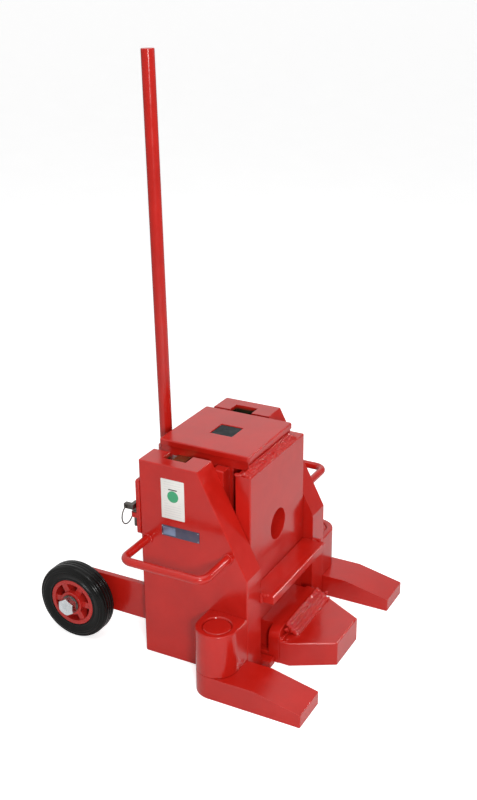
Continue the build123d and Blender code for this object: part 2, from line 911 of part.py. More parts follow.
def wheel_rim(side):
    """The ribbed wheel centre."""
    inner_ring = rim_radius - rim_ring
    rim = Cylinder(rim_radius, rim_width) - Cylinder(inner_ring, rim_width + 1)
    web_z = -rim_width / 2 + rim_web
    rim += Pos(0, 0, web_z) * (Cylinder(inner_ring + 1, rim_web) - Cylinder(bush_radius, rim_web + 1))
    rim += Cylinder(hub_radius, hub_length)
    rib_length = inner_ring - hub_radius + 4
    for index in range(rib_count):
        rib = Pos(hub_radius + rib_length / 2 - 2, 0, -rib_recess / 2) * Box(
            rib_length, rib_thickness, rim_width - rib_recess,
        )
        rim += Rot(0, 0, 360 / rib_count * (index + 0.5)) * rib
    rim -= Cylinder(bush_radius, hub_length + 2)
    return wheel_place(rim, side)


def wheel_tyre(side):
    """The solid rubber tyre with rounded shoulders."""
    section = Pos((rim_radius + wheel_radius) / 2, 0) * Rectangle(tyre_depth, wheel_width)
    section = fillet(section.vertices().group_by(Axis.X)[-1], tyre_shoulder)
    section = chamfer(section.vertices().group_by(Axis.X)[0], (wheel_width - rim_width) / 2)
    return wheel_place(revolve(Plane.XZ * section, Axis.Z), side)


def wheel_bush(side):
    """The plain bush in the wheel's hub."""
    bush = Cylinder(bush_radius, hub_length) - Cylinder(axle_radius + running_clearance, hub_length + 1)
    return wheel_place(bush, side)


def wheel_arm(side):
    """The flat arm from the back of the cheek to the axle."""
    rear = wheel_y + arm_overhang
    arm = block(
        arm_outer_x - arm_thickness, arm_outer_x, housing_rear, rear,
        wheel_radius - arm_below_axle, wheel_radius + arm_above_axle,
    )
    arm = chamfer(edges_along(arm, Axis.X).group_by(Axis.Y)[-1], arm_corner)
    arm -= bar_x(axle_radius, arm_outer_x - arm_thickness - 1, arm_outer_x + 1, wheel_y, wheel_radius)
    return on_side(arm, side)


def axle_bolt(side):
    """The bolt that the wheel turns on, with its hexagon head outside."""
    shank_end = hub_outer_x + hub_end_play + axle_washer_thickness
    start = arm_outer_x - arm_thickness - axle_nut_height - axle_thread_end
    bolt = bar_x(axle_radius, start, shank_end, wheel_y, wheel_radius)
    head = Pos(shank_end, wheel_y, wheel_radius) * Rot(0, 90, 0) * hex_bar(axle_head_flats, axle_head_height)
    return on_side(bolt + head, side)


def axle_washer(side):
    """The washer under the axle bolt's head."""
    x0 = hub_outer_x + hub_end_play
    x1 = x0 + axle_washer_thickness
    washer = bar_x(axle_radius + axle_washer_rim, x0, x1, wheel_y, wheel_radius)
    return on_side(washer - bar_x(axle_radius, x0 - 1, x1 + 1, wheel_y, wheel_radius), side)


def axle_spacer(side):
    """The distance ring between the arm and the wheel's hub."""
    x1 = arm_outer_x + spacer_length
    spacer = bar_x(axle_radius + spacer_rim, arm_outer_x, x1, wheel_y, wheel_radius)
    return on_side(spacer - bar_x(axle_radius, arm_outer_x - 1, x1 + 1, wheel_y, wheel_radius), side)


def axle_nut(side):
    """The nut on the inner side of the arm."""
    face = arm_outer_x - arm_thickness
    nut = Pos(face, wheel_y, wheel_radius) * Rot(0, -90, 0) * hex_bar(axle_head_flats, axle_nut_height)
    nut -= bar_x(axle_radius, face - axle_nut_height - 1, face + 1, wheel_y, wheel_radius)
    return on_side(nut, side)


def linch_lug():
    """The lug on the yoke plate that the linch pin is parked in."""
    lug = block(
        linch_x - lug_half_width, linch_x + lug_half_width,
        yoke_rear_y, yoke_rear_y + lug_reach, lug_bottom, lug_bottom + lug_height,
    )
    lug = chamfer(edges_along(lug, Axis.Z).group_by(Axis.Y)[-1], lug_corner)
    return lug - post(
        linch_radius + free_clearance, linch_x, linch_y, lug_bottom - 1, lug_bottom + lug_height + 1,
    )


def linch_pin():
    """The linch pin, with an ear behind its lug for the ring."""
    shank = post(linch_radius, linch_x, linch_y, linch_head_bottom - linch_length, linch_head_bottom)
    collar_bottom = lug_bottom + lug_height
    collar = post(
        linch_radius + linch_collar, linch_x, linch_y, collar_bottom, collar_bottom + linch_collar_height,
    )
    ear_half = ring_wire + ring_hole_clearance + linch_collar
    head = block(
        ring_x - linch_head_side, linch_x + linch_head_side, linch_y - linch_radius, ring_y + ear_half,
        linch_head_bottom, linch_head_bottom + linch_head_height,
    )
    head -= block(
        ring_x + linch_head_side, linch_x + linch_head_side + 1,
        linch_y + linch_radius, ring_y + ear_half + 1,
        linch_head_bottom - 1, linch_head_bottom + linch_head_height + 1,
    )
    hole = bar_x(
        ring_wire + ring_hole_clearance,
        ring_x - linch_head_side - 1, ring_x + linch_head_side + 1, ring_y, ring_top_z,
    )
    return shank + collar + head - hole


def linch_ring():
    """The wire ring that hangs from the linch pin's ear."""
    centre = Pos(ring_x, ring_y, ring_top_z - ring_radius)
    return centre * Rot(90, 0, 0) * Torus(ring_radius, ring_wire)


def write(name, shape):
    """Write one sub-part as a STEP file."""
    shape.label = name
    export_step(shape, f"parts/{name}.step")


def main():
    os.makedirs("parts", exist_ok=True)
    singles = {
        "base_plate": base_plate,
        "rear_wall": rear_wall,
        "keeper_bar": keeper_bar,
        "cylinder": cylinder,
        "cylinder_gland": cylinder_gland,
        "wiper_seal": wiper_seal,
        "ram": ram,
        "piston_seal": piston_seal,
        "oil_tank": oil_tank,
        "filler_plug": filler_plug,
        "pressure_pipe": pressure_pipe,
        "pump_body": pump_body,
        "pump_gland": pump_gland,
        "pump_plunger": pump_plunger,
        "plunger_pin": plunger_pin,
        "pump_lever": pump_lever,
        "pole": pole,
        "pivot_pin": pivot_pin,
        "lever_bracket": lever_bracket,
        "release_screw": release_screw,
        "yoke_plate": yoke_plate,
        "yoke_bolts": yoke_bolts,
        "head_plate": head_plate,
        "head_pad": head_pad,
        "head_block": head_block,
        "front_plate": front_plate,
        "carriage_neck": carriage_neck,
        "carriage_channel": carriage_channel,
        "toe_root": toe_root,
        "toe": toe,
        "linch_lug": linch_lug,
        "linch_pin": linch_pin,
        "linch_ring": linch_ring,
    }
    pairs = {
        "cheek": cheek,
        "lifting_handle": lifting_handle,
        "return_spring": return_spring,
        "foot": foot,
        "foot_pin": foot_pin,
        "wheel_rim": wheel_rim,
        "wheel_tyre": wheel_tyre,
        "wheel_bush": wheel_bush,
    }
    both_sides = {
        "guide_bars": guide_bar,
        "guide_shoes": guide_shoe,
        "front_sills": front_sill,
        "pivot_bosses": pivot_boss,
        "spring_hooks": spring_hook,
        "spring_anchors": spring_anchor,
        "wheel_arms": wheel_arm,
        "axle_bolts": axle_bolt,
        "axle_washers": axle_washer,
        "axle_spacers": axle_spacer,
        "axle_nuts": axle_nut,
    }
    for name, make in singles.items():
        write(name, make())
    for name, make in pairs.items():
        write(f"{name}_left", make(-1))
        write(f"{name}_right", make(1))
    for name, make in both_sides.items():
        write(name, Compound(children=[make(-1), make(1)]))


if __name__ == "__main__":
    main()
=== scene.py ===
import math
import random

import bmesh
import bpy
from bpy.props import FloatProperty, FloatVectorProperty, IntProperty, PointerProperty
from mathutils import Matrix, Vector


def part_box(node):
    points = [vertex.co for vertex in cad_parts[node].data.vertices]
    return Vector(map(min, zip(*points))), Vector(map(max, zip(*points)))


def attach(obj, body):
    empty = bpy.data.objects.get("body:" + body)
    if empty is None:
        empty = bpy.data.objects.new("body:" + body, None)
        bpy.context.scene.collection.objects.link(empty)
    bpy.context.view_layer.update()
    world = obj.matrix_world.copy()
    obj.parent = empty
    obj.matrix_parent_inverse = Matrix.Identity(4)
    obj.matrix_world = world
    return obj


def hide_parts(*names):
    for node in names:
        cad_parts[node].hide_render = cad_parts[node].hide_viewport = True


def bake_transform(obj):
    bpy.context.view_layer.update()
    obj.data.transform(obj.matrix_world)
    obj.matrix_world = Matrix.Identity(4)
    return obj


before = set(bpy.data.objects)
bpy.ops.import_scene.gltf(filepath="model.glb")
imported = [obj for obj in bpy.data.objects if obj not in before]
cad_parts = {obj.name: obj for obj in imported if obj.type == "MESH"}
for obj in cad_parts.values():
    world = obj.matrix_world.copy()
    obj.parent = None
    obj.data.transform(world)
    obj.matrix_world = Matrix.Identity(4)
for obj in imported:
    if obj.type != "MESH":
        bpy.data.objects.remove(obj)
slot_of = {name: node.data.materials[0].name.split(".")[0] for name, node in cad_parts.items()}

bl_info = {
    "name": "Hydraulic Toe Jack",
    "version": (1, 0, 0),
    "blender": (4, 5, 0),
    "location": "View3D > Sidebar > Toe Jack",
    "description": "Dresses the toe jack's frame: paint, welds, wheels, springs, labels and a studio",
    "category": "Object",
}

# Gaps under which two points become one, in metres
CAD_MERGE = 0.00002
TURN_MERGE = 0.00001

# Angles in degrees: where a bevel or a smooth surface breaks, and which CAD faces count as one flat face
BEVEL_ANGLE = 32
SMOOTH_ANGLE = 35.0
FLAT_ANGLE = 0.4
WELD_SMOOTH_ANGLE = 60

# A weld's ripples: their spacing as a share of the bead's width and at most in metres, how much they overlap,
# how far they stray as a share of the width, and how much they shrink or swell
WELD_PITCH = 0.42
WELD_PITCH_MOST = 0.0042
WELD_OVERLAP = 1.05
WELD_STRAY = 0.06
WELD_SWELL = (-0.12, 0.14)

# The camera at the photograph's angle: degrees of yaw, pitch and roll, and its place in metres
CAMERA_TURN = (-62.06, 21.91, 0.43)
CAMERA_PLACE = (-2.2712, -1.2128, 1.6630)

# How bright the air is for soft light, and in a gloss that looks towards the front or the back
AIR_SOFT = 0.32
AIR_FRONT, AIR_BACK = 0.22, 1.0
AIR_FRONT_Y, AIR_BACK_Y = -0.35, 0.20

# The floor's own glow, seen directly and in a gloss
FLOOR_GLOW = 0.66
FLOOR_GLOW_MIRRORED = 0.03


# Selecting, shaping and finishing

def clear_selection():
    """Leave edit mode and deselect everything."""
    if bpy.context.mode != "OBJECT":
        bpy.ops.object.mode_set(mode="OBJECT")
    bpy.ops.object.select_all(action="DESELECT")


def take(piece):
    """Make one piece the only selected and active one."""
    clear_selection()
    piece.select_set(True)
    bpy.context.view_layer.objects.active = piece


def edit(piece):
    """Open a piece in edit mode with all of it selected."""
    take(piece)
    bpy.ops.object.mode_set(mode="EDIT")
    bpy.ops.mesh.select_all(action="SELECT")


def close_edit():
    """Go back to object mode."""
    bpy.ops.object.mode_set(mode="OBJECT")


def select_faces(piece, test):
    """In edit mode, select only the faces whose centre and normal pass the test."""
    bpy.ops.mesh.select_mode(type="FACE")
    bpy.ops.mesh.select_all(action="DESELECT")
    shape = bmesh.from_edit_mesh(piece.data)
    for face in shape.faces:
        face.select_set(test(face.calc_center_median(), face.normal))
    shape.select_flush(True)
    bmesh.update_edit_mesh(piece.data)


def select_edges(piece, test):
    """In edit mode, select only the edges whose two ends pass the test."""
    bpy.ops.mesh.select_mode(type="EDGE")
    bpy.ops.mesh.select_all(action="DESELECT")
    shape = bmesh.from_edit_mesh(piece.data)
    for edge in shape.edges:
        edge.select_set(test(edge.verts[0].co, edge.verts[1].co))
    shape.select_flush(False)
    bmesh.update_edit_mesh(piece.data)


def modify(piece, kind, **settings):
    """Add a modifier with these settings and apply it."""
    take(piece)
    modifier = piece.modifiers.new(kind.title(), kind)
    for key, value in settings.items():
        setattr(modifier, key, value)
    bpy.ops.object.modifier_apply(modifier=modifier.name)


def finish_piece(piece, name, finish, body, smooth=SMOOTH_ANGLE):
    """Name a piece, put its place into its mesh, smooth it, paint it and let it ride on a body."""
    take(piece)
    bpy.ops.object.transform_apply(location=True, rotation=True, scale=True)
    piece.name = name
    piece.data.name = name
    bpy.ops.object.shade_smooth_by_angle(angle=math.radians(smooth))
    piece.data.materials.clear()
    piece.data.materials.append(finish)
    if body:
        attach(piece, body)


def twin(piece, name):
    """A copy of a piece with its own mesh."""
    other = bpy.data.objects.new(name, piece.data.copy())
    bpy.context.collection.objects.link(other)
    return other


def join(pieces):
    """Join several pieces into the first of them."""
    clear_selection()
    for piece in pieces:
        piece.select_set(True)
    bpy.context.view_layer.objects.active = pieces[0]
    bpy.ops.object.join()
    return pieces[0]


def mirror_across(piece):
    """Mirror a piece to the other side of the middle."""
    edit(piece)
    bpy.ops.transform.mirror(
        orient_type="GLOBAL", constraint_axis=(True, False, False), center_override=(0, 0, 0),
    )
    bpy.ops.mesh.normals_make_consistent(inside=False)
    close_edit()


def rounded_node(node, body, finish, radius):
    """A CAD node's shape in place of the node, with whole flat faces and its sharp edges rounded over."""
    piece = bpy.data.objects.new(node + "_rounded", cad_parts[node].data.copy())
    bpy.context.collection.objects.link(piece)
    take(piece)
    bpy.ops.mesh.customdata_custom_splitnormals_clear()
    edit(piece)
    bpy.ops.mesh.remove_doubles(threshold=CAD_MERGE)
    bpy.ops.mesh.dissolve_limited(angle_limit=math.radians(FLAT_ANGLE))
    close_edit()
    if radius > 0:
        modify(
            piece, "BEVEL", width=radius, segments=2, limit_method="ANGLE",
            angle_limit=math.radians(BEVEL_ANGLE), harden_normals=False, use_clamp_overlap=True,
        )
    finish_piece(piece, piece.name, finish, body)
    if radius > 0:
        modify(piece, "WEIGHTED_NORMAL", weight=80, keep_sharp=True)
    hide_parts(node)


def turned(points, centre, axis, steps):
    """A closed outline of (radius, along) points turned once round an axis through the centre."""
    axis = Vector(axis)
    out = Vector((0, 0, 1)) if abs(axis.z) < 0.5 else Vector((1, 0, 0))
    centre = Vector(centre)
    places = [centre + out * radius + axis * along for radius, along in points]
    clear_selection()
    # A small plane shrunk to a point starts the outline
    bpy.ops.mesh.primitive_plane_add(size=0.001, location=places[0])
    piece = bpy.context.object
    bpy.ops.object.transform_apply(location=True, rotation=True, scale=True)
    edit(piece)
    bpy.ops.mesh.merge(type="CENTER")
    for before, after in zip(places, places[1:] + places[:1]):
        bpy.ops.mesh.extrude_region_move(TRANSFORM_OT_translate={"value": after - before})
    bpy.ops.mesh.select_all(action="SELECT")
    bpy.ops.mesh.remove_doubles(threshold=TURN_MERGE)
    bpy.ops.mesh.select_all(action="SELECT")
    bpy.ops.mesh.spin(
        steps=steps, angle=math.tau, center=centre, axis=axis, use_auto_merge=True, dupli=False,
    )
    bpy.ops.mesh.select_all(action="SELECT")
    bpy.ops.mesh.remove_doubles(threshold=TURN_MERGE)
    bpy.ops.mesh.normals_make_consistent(inside=False)
    close_edit()
    return piece


def spatter(chance, middle, reach, count, low, high):
    """Short lumps of weld at random places about a point, as runs for weld_ripples."""
    runs = []
    for _ in range(count):
        place = Vector(middle) + Vector([chance.uniform(-1, 1) * far for far in reach])
        size = chance.uniform(low, high)
        runs.append((place, place + Vector((size * 0.3, 0, 0)), size, size * 0.8))
    return runs


def scattered(chance, rows):
    """The spatter of several rows, where each row is what spatter takes after its chance."""
    return [run for row in rows for run in spatter(chance, *row)]


def weld_ripples(runs, seed, voxel):
    """Beads of weld. Each run is (start, end, width, height), and a stretch after them smooths it."""
    chance = random.Random(seed)
    clear_selection()
    ripples = []
    for start, end, width, height, *rest in runs:
        stretch = rest[0] if rest else 1.0
        start, end = Vector(start), Vector(end)
        way = end - start
        pitch = min(width * WELD_PITCH, WELD_PITCH_MOST)
        count = max(2, round(way.length / pitch))
        turn = way.to_track_quat("X", "Z").to_euler()
        for i in range(count + 1):
            stray = Vector([chance.uniform(-1, 1) * width * WELD_STRAY / stretch for _ in range(3)])
            swell = 1 + chance.uniform(*WELD_SWELL) / stretch
            if ripples:
                ripple = twin(ripples[0], "ripple")
            else:
                bpy.ops.mesh.primitive_uv_sphere_add(segments=14, ring_count=8, radius=1)
                ripple = bpy.context.object
            ripple.location = start + way * (i / count) + stray
            ripple.rotation_euler = turn
            ripple.scale = (pitch * WELD_OVERLAP * stretch, width / 2 * swell, height / 2 * swell)
            ripples.append(ripple)
    bead = join(ripples)
    bpy.ops.object.transform_apply(location=True, rotation=True, scale=True)
    modify(bead, "REMESH", mode="VOXEL", voxel_size=voxel, use_smooth_shade=True)
    modify(bead, "SMOOTH", factor=0.5, iterations=1)
    return bead


def lay_weld(runs, seed, voxel, name, body):
    """Lay runs of weld and let the piece ride on a body."""
    finish_piece(
        weld_ripples(runs, seed, voxel), name, material("weld_paint"), body, WELD_SMOOTH_ANGLE,
    )


def across(x0, x1, y, z, *size):
    """A level run of weld from one X to another."""
    return ((x0, y, z), (x1, y, z), *size)


def upright(x, y, z0, z1, *size):
    """A run of weld from one height to another."""
    return ((x, y, z0), (x, y, z1), *size)


def courses(front, rows):
    """Level runs, from rows of two X ends, how far each lies before the front, its height and its size."""
    return [across(x0, x1, front - ahead, z, *size) for x0, x1, ahead, z, *size in rows]


def chained(points, *size):
    """Runs of weld from each point to the next."""
    return [(start, end, *size) for start, end in zip(points, points[1:])]


# Building materials

class Recipe:
    """A material with its shader and short calls that add and join nodes."""

    def __init__(self, name):
        self.material = bpy.data.materials.new(name)
        self.material.use_nodes = True
        self.tree = self.material.node_tree
        self.shader = self.tree.nodes["Principled BSDF"]
        self.place = self.node("ShaderNodeTexCoord").outputs["Object"]

    def node(self, kind, **values):
        """Add a node. Names of settings set them, and names of sockets get a value or a link."""
        made = self.tree.nodes.new(kind)
        for key, value in values.items():
            if hasattr(made, key) and not isinstance(value, bpy.types.NodeSocket):
                setattr(made, key, value)
            else:
                self.feed(made.inputs[key.replace("_", " ").strip()], value)
        return made

    def feed(self, socket, value):
        """Link a node's output to a socket, or give the socket a plain value."""
        if isinstance(value, bpy.types.NodeSocket):
            self.tree.links.new(value, socket)
        else:
            socket.default_value = value

    def set(self, **values):
        """Set the shader's own sockets."""
        for key, value in values.items():
            self.feed(self.shader.inputs[key.replace("_", " ")], value)

    def noise(self, scale, detail=2.0, rough=0.5, place=None):
        """A noise pattern of this many waves to the metre."""
        made = self.node("ShaderNodeTexNoise")
        self.feed(made.inputs["Vector"], place or self.place)
        self.feed(made.inputs["Scale"], scale)
        self.feed(made.inputs["Detail"], detail)
        self.feed(made.inputs["Roughness"], rough)
        return made.outputs["Fac"]

    def spread(self, value, low, high, to_low, to_high):
        """Map a range of values onto another."""
        made = self.node("ShaderNodeMapRange")
        for key, given in (
            ("Value", value), ("From Min", low), ("From Max", high), ("To Min", to_low), ("To Max", to_high),
        ):
            self.feed(made.inputs[key], given)
        return made.outputs["Result"]

    def sum(self, operation, first, second):
        """Do one step of arithmetic on two values."""
        made = self.node("ShaderNodeMath", operation=operation)
        self.feed(made.inputs[0], first)
        self.feed(made.inputs[1], second)
        return made.outputs[0]

    def blend(self, amount, first, second):
        """Mix two colours, which a colour mix takes in sockets 6 and 7 and gives out in socket 2."""
        made = self.node("ShaderNodeMix", data_type="RGBA")
        self.feed(made.inputs[0], amount)
        self.feed(made.inputs[6], first)
        self.feed(made.inputs[7], second)
        return made.outputs[2]

    def bump(self, height, distance, under=None):
        """Raise the surface by a height times a distance in metres."""
        made = self.node("ShaderNodeBump")
        self.feed(made.inputs["Height"], height)
        self.feed(made.inputs["Distance"], distance)
        if under is not None:
            self.feed(made.inputs["Normal"], under)
        return made.outputs["Normal"]

    def soft_edges(self, radius):
        """The surface's normal with its edges rounded over, and how near an edge a point is."""
        rounded = self.node("ShaderNodeBevel", samples=6)
        self.feed(rounded.inputs["Radius"], radius)
        flat = self.node("ShaderNodeNewGeometry").outputs["Normal"]
        match = self.node("ShaderNodeVectorMath", operation="DOT_PRODUCT")
        self.feed(match.inputs[0], rounded.outputs["Normal"])
        self.feed(match.inputs[1], flat)
        return rounded.outputs["Normal"], self.spread(match.outputs["Value"], 1.0, 0.86, 0.0, 1.0)


def rgb(colour):
    """A colour as a socket takes it, with full alpha."""
    return (*tuple(colour)[:3], 1.0)


def gloss_paint(name, colour, roughness, pocket_shade=None, soft=0.0016, ripple=0.0):
    """Thick glossy paint over plate: orange peel, low waves, worn edges and a few dull patches.

    The pocket box is given as its two |X| ends, its two Y ends and its top; inside it the paint is painted
    near black, more so with depth below the top, as painted shade in the recess.
    A ripple is the height of the lumps that a weld has under its paint.
    """
    mix = Recipe(name)
    deep = tuple(c * 0.86 for c in colour)
    worn = (colour[0] * 1.10, colour[1] + 0.022, colour[2] + 0.016)
    normal, edge = mix.soft_edges(soft)
    patch = mix.noise(9.0, 4.0, 0.6)
    tone = mix.blend(mix.spread(patch, 0.35, 0.65, 0.0, 1.0), rgb(deep), rgb(colour))
    # Painted shade: inside the cheek pockets the colour fades to near black below the top, standing in for
    # the shade in the recess
    if pocket_shade:
        x_low, x_high, y_low, y_high, top = pocket_shade
        split = mix.node("ShaderNodeSeparateXYZ")
        mix.feed(split.inputs[0], mix.place)
        out = mix.sum("ABSOLUTE", split.outputs["X"], 0.0)
        inside = mix.spread(split.outputs["Z"], top - 0.004, top - 0.012, 0.0, 1.0)
        for axis, low, high in ((out, x_low, x_high), (split.outputs["Y"], y_low, y_high)):
            inside = mix.sum("MULTIPLY", inside, mix.sum("GREATER_THAN", axis, low))
            inside = mix.sum("MULTIPLY", inside, mix.sum("LESS_THAN", axis, high))
        tone = mix.blend(inside, tone, rgb((0.016, 0.018, 0.010)))
    rub = mix.sum("MULTIPLY", edge, mix.spread(mix.noise(70.0, 5.0, 0.65), 0.42, 0.62, 0.0, 0.8))
    mix.set(
        Base_Color=mix.blend(rub, tone, rgb(worn)),
        Roughness=mix.spread(mix.noise(36.0, 5.0, 0.6), 0.3, 0.7, roughness * 0.75, roughness * 1.45),
        IOR=1.47,
    )
    waves = mix.bump(mix.noise(20.0, 2.0, 0.4), 0.0004, normal)
    if ripple:
        waves = mix.bump(mix.noise(170.0, 2.0, 0.5), ripple, waves)
    peel = mix.bump(mix.noise(380.0, 2.0, 0.5), 0.00003, waves)
    mix.set(Normal=peel)
    return mix.material


def plated_metal(name, colour, roughness, tint):
    """Plated steel with fine grain, cloudy passivation and soft edges."""
    mix = Recipe(name)
    normal, edge = mix.soft_edges(0.0008)
    cloud = mix.spread(mix.noise(60.0, 5.0, 0.65), 0.35, 0.65, 0.0, 1.0)
    tone = mix.blend(cloud, rgb(colour), rgb(tint))
    mix.set(
        Base_Color=mix.blend(mix.sum("MULTIPLY", edge, 0.35), tone, rgb([c * 1.15 for c in colour])),
        Metallic=1.0,
        Roughness=mix.spread(mix.noise(240.0, 4.0, 0.6), 0.3, 0.7, roughness * 0.8, roughness * 1.3),
        Normal=mix.bump(mix.noise(900.0, 3.0, 0.6), 0.00002, normal),
    )
    return mix.material


def turned_steel(name, colour, roughness):
    """Machined steel with fine tool marks."""
    mix = Recipe(name)
    stretch = mix.node("ShaderNodeMapping")
    mix.feed(stretch.inputs["Vector"], mix.place)
    mix.feed(stretch.inputs["Scale"], (0.05, 0.05, 1.0))
    marks = mix.noise(2600.0, 3.0, 0.6, stretch.outputs["Vector"])
    stain = mix.spread(mix.noise(24.0, 4.0, 0.6), 0.4, 0.7, 0.0, 0.6)
    mix.set(
        Base_Color=mix.blend(stain, rgb(colour), rgb([c * 0.7 for c in colour])),
        Metallic=1.0,
        Roughness=mix.spread(marks, 0.3, 0.7, roughness * 0.8, roughness * 1.3),
        Normal=mix.bump(marks, 0.000015),
    )
    return mix.material


def moulded_rubber(name, colour, roughness, grain, index=1.5, dusty=0.35):
    """Rubber or plastic with a fine mould grain, a bloom of dust and softened edges."""
    mix = Recipe(name)
    normal = mix.soft_edges(0.001)[0]
    dust = mix.spread(mix.noise(32.0, 5.0, 0.65), 0.45, 0.75, 0.0, dusty)
    pale = [c * 1.6 + 0.012 for c in colour]
    mix.set(
        Base_Color=mix.blend(dust, rgb(colour), rgb(pale)),
        Roughness=mix.spread(mix.noise(90.0, 4.0, 0.6), 0.3, 0.7, roughness * 0.8, roughness * 1.3),
        IOR=index,
        Normal=mix.bump(mix.noise(grain, 3.0, 0.6), 0.00004, normal),
    )
    return mix.material


def printed_sheet(name, paper, disc_colour, disc_y, disc_z, disc_radius):
    """A white inspection sheet: a plain disc with a short bar over it and blank ruled lines."""
    mix = Recipe(name)
    split = mix.node("ShaderNodeSeparateXYZ")
    mix.feed(split.inputs[0], mix.place)
    y, z = split.outputs["Y"], split.outputs["Z"]

    def band(axis, low, high):
        """One between two values of a coordinate, else nought."""
        above = mix.sum("GREATER_THAN", axis, low)
        return mix.sum("MULTIPLY", above, mix.sum("LESS_THAN", axis, high))

    ry = mix.sum("SUBTRACT", y, disc_y)
    rz = mix.sum("SUBTRACT", z, disc_z)
    far = mix.sum("ADD", mix.sum("MULTIPLY", ry, ry), mix.sum("MULTIPLY", rz, rz))
    disc = mix.sum("LESS_THAN", far, disc_radius ** 2)
    bar = mix.sum(
        "MULTIPLY", band(y, disc_y - disc_radius * 0.8, disc_y + disc_radius * 0.8),
        band(z, disc_z + disc_radius * 1.08, disc_z + disc_radius * 1.28),
    )
    ruled = mix.sum("FRACT", mix.sum("MULTIPLY", z, 160.0), 0.0)
    rules = mix.sum("MULTIPLY", mix.sum("LESS_THAN", ruled, 0.2), band(y, disc_y - 0.022, disc_y + 0.024))
    clear = mix.sum("GREATER_THAN", far, (disc_radius * 1.6) ** 2)
    rules = mix.sum("MULTIPLY", rules, clear)
    soil = mix.spread(mix.noise(45.0, 4.0, 0.6), 0.4, 0.75, 0.0, 0.22)
    tone = mix.blend(soil, rgb(paper), rgb([c * 0.82 for c in paper]))
    tone = mix.blend(mix.sum("MULTIPLY", rules, 0.32), tone, rgb((0.35, 0.37, 0.40)))
    tone = mix.blend(disc, tone, rgb(disc_colour))
    tone = mix.blend(bar, tone, rgb((0.03, 0.035, 0.03)))
    mix.set(
        Base_Color=tone,
        Roughness=mix.spread(mix.noise(120.0, 3.0, 0.5), 0.3, 0.7, 0.28, 0.42),
        IOR=1.45,
        Normal=mix.bump(mix.noise(30.0, 2.0, 0.4), 0.0002),
    )
    return mix.material


# Sizes and colours that a user would change

class PaintSettings(bpy.types.PropertyGroup):
    paint: FloatVectorProperty(
        name="Paint", description="Colour of the body's paint", subtype="COLOR", size=3, min=0, max=1,
        default=(0.50, 0.012, 0.007),
    )
    rim_paint: FloatVectorProperty(
        name="Rim Paint", description="Colour of the wheel rims", subtype="COLOR", size=3, min=0, max=1,
        default=(0.48, 0.018, 0.013),
    )
    rubber: FloatVectorProperty(
        name="Rubber", description="Colour of the tyres", subtype="COLOR", size=3, min=0, max=1,
        default=(0.0040, 0.0040, 0.0036),
    )
    pad: FloatVectorProperty(
        name="Pad", description="Colour of the pad in the head", subtype="COLOR", size=3, min=0, max=1,
        default=(0.020, 0.024, 0.026),
    )
    disc: FloatVectorProperty(
        name="Disc", description="Colour of the disc on the sheet", subtype="COLOR", size=3, min=0, max=1,
        default=(0.045, 0.34, 0.16),
    )
    gloss: FloatProperty(
        name="Paint Roughness", description="How rough the paint's gloss is", default=0.17, min=0.02, max=1,
        subtype="FACTOR",
    )


class WeldSettings(bpy.types.PropertyGroup):
    toe_bead: FloatProperty(
        name="Toe Bead", description="Width of one run at the toe's root", default=0.0125, min=0.004,
        max=0.02, unit="LENGTH",
    )
    plate_bead: FloatProperty(
        name="Plate Bead", description="Width of the beads between plates", default=0.009, min=0.004,
        max=0.02, unit="LENGTH",
    )
    seed: IntProperty(name="Seed", description="Starts the ripples' variation", default=7, min=0)


class WheelSettings(bpy.types.PropertyGroup):
    groove: FloatProperty(
        name="Groove Depth", description="Depth of the grooves in the tread and the side wall",
        default=0.0022, min=0.0, max=0.006, unit="LENGTH",
    )
    steps: IntProperty(name="Steps", description="Steps round a wheel", default=120, min=24, max=256)


class SpringSettings(bpy.types.PropertyGroup):
    wire: FloatProperty(
        name="Wire Radius", description="Radius of the spring wire", default=0.002, min=0.0005, max=0.004,
        unit="LENGTH",
    )
    coils: IntProperty(name="Coils", description="Turns of a return spring", default=62, min=6, max=120)


class StageSettings(bpy.types.PropertyGroup):
    floor: FloatProperty(
        name="Floor Width", description="Width of the studio floor", default=160.0, min=4.0, unit="LENGTH",
    )
    lens: FloatProperty(
        name="Focal Length", description="Focal length of the camera in millimetres", default=51.40, min=10,
    )
    soft: FloatProperty(name="Overhead Power", description="Power of the overhead light", default=40.0, min=0)
    key: FloatProperty(name="Key Power", description="Power of the key light", default=48.0, min=0)
    rim: FloatProperty(name="Rim Power", description="Power of the light beyond the toe", default=21.0, min=0)
    glint: FloatProperty(name="Glint Power", description="Power of the small light above", default=9.0, min=0)


def settings():
    """The groups of settings that the panel shows."""
    scene = bpy.context.scene
    return scene.jack_paint, scene.jack_welds, scene.jack_wheels, scene.jack_springs, scene.jack_stage


def material(name):
    """One of the finishes that the first operator made."""
    return bpy.data.materials["jack_" + name]


# Operators

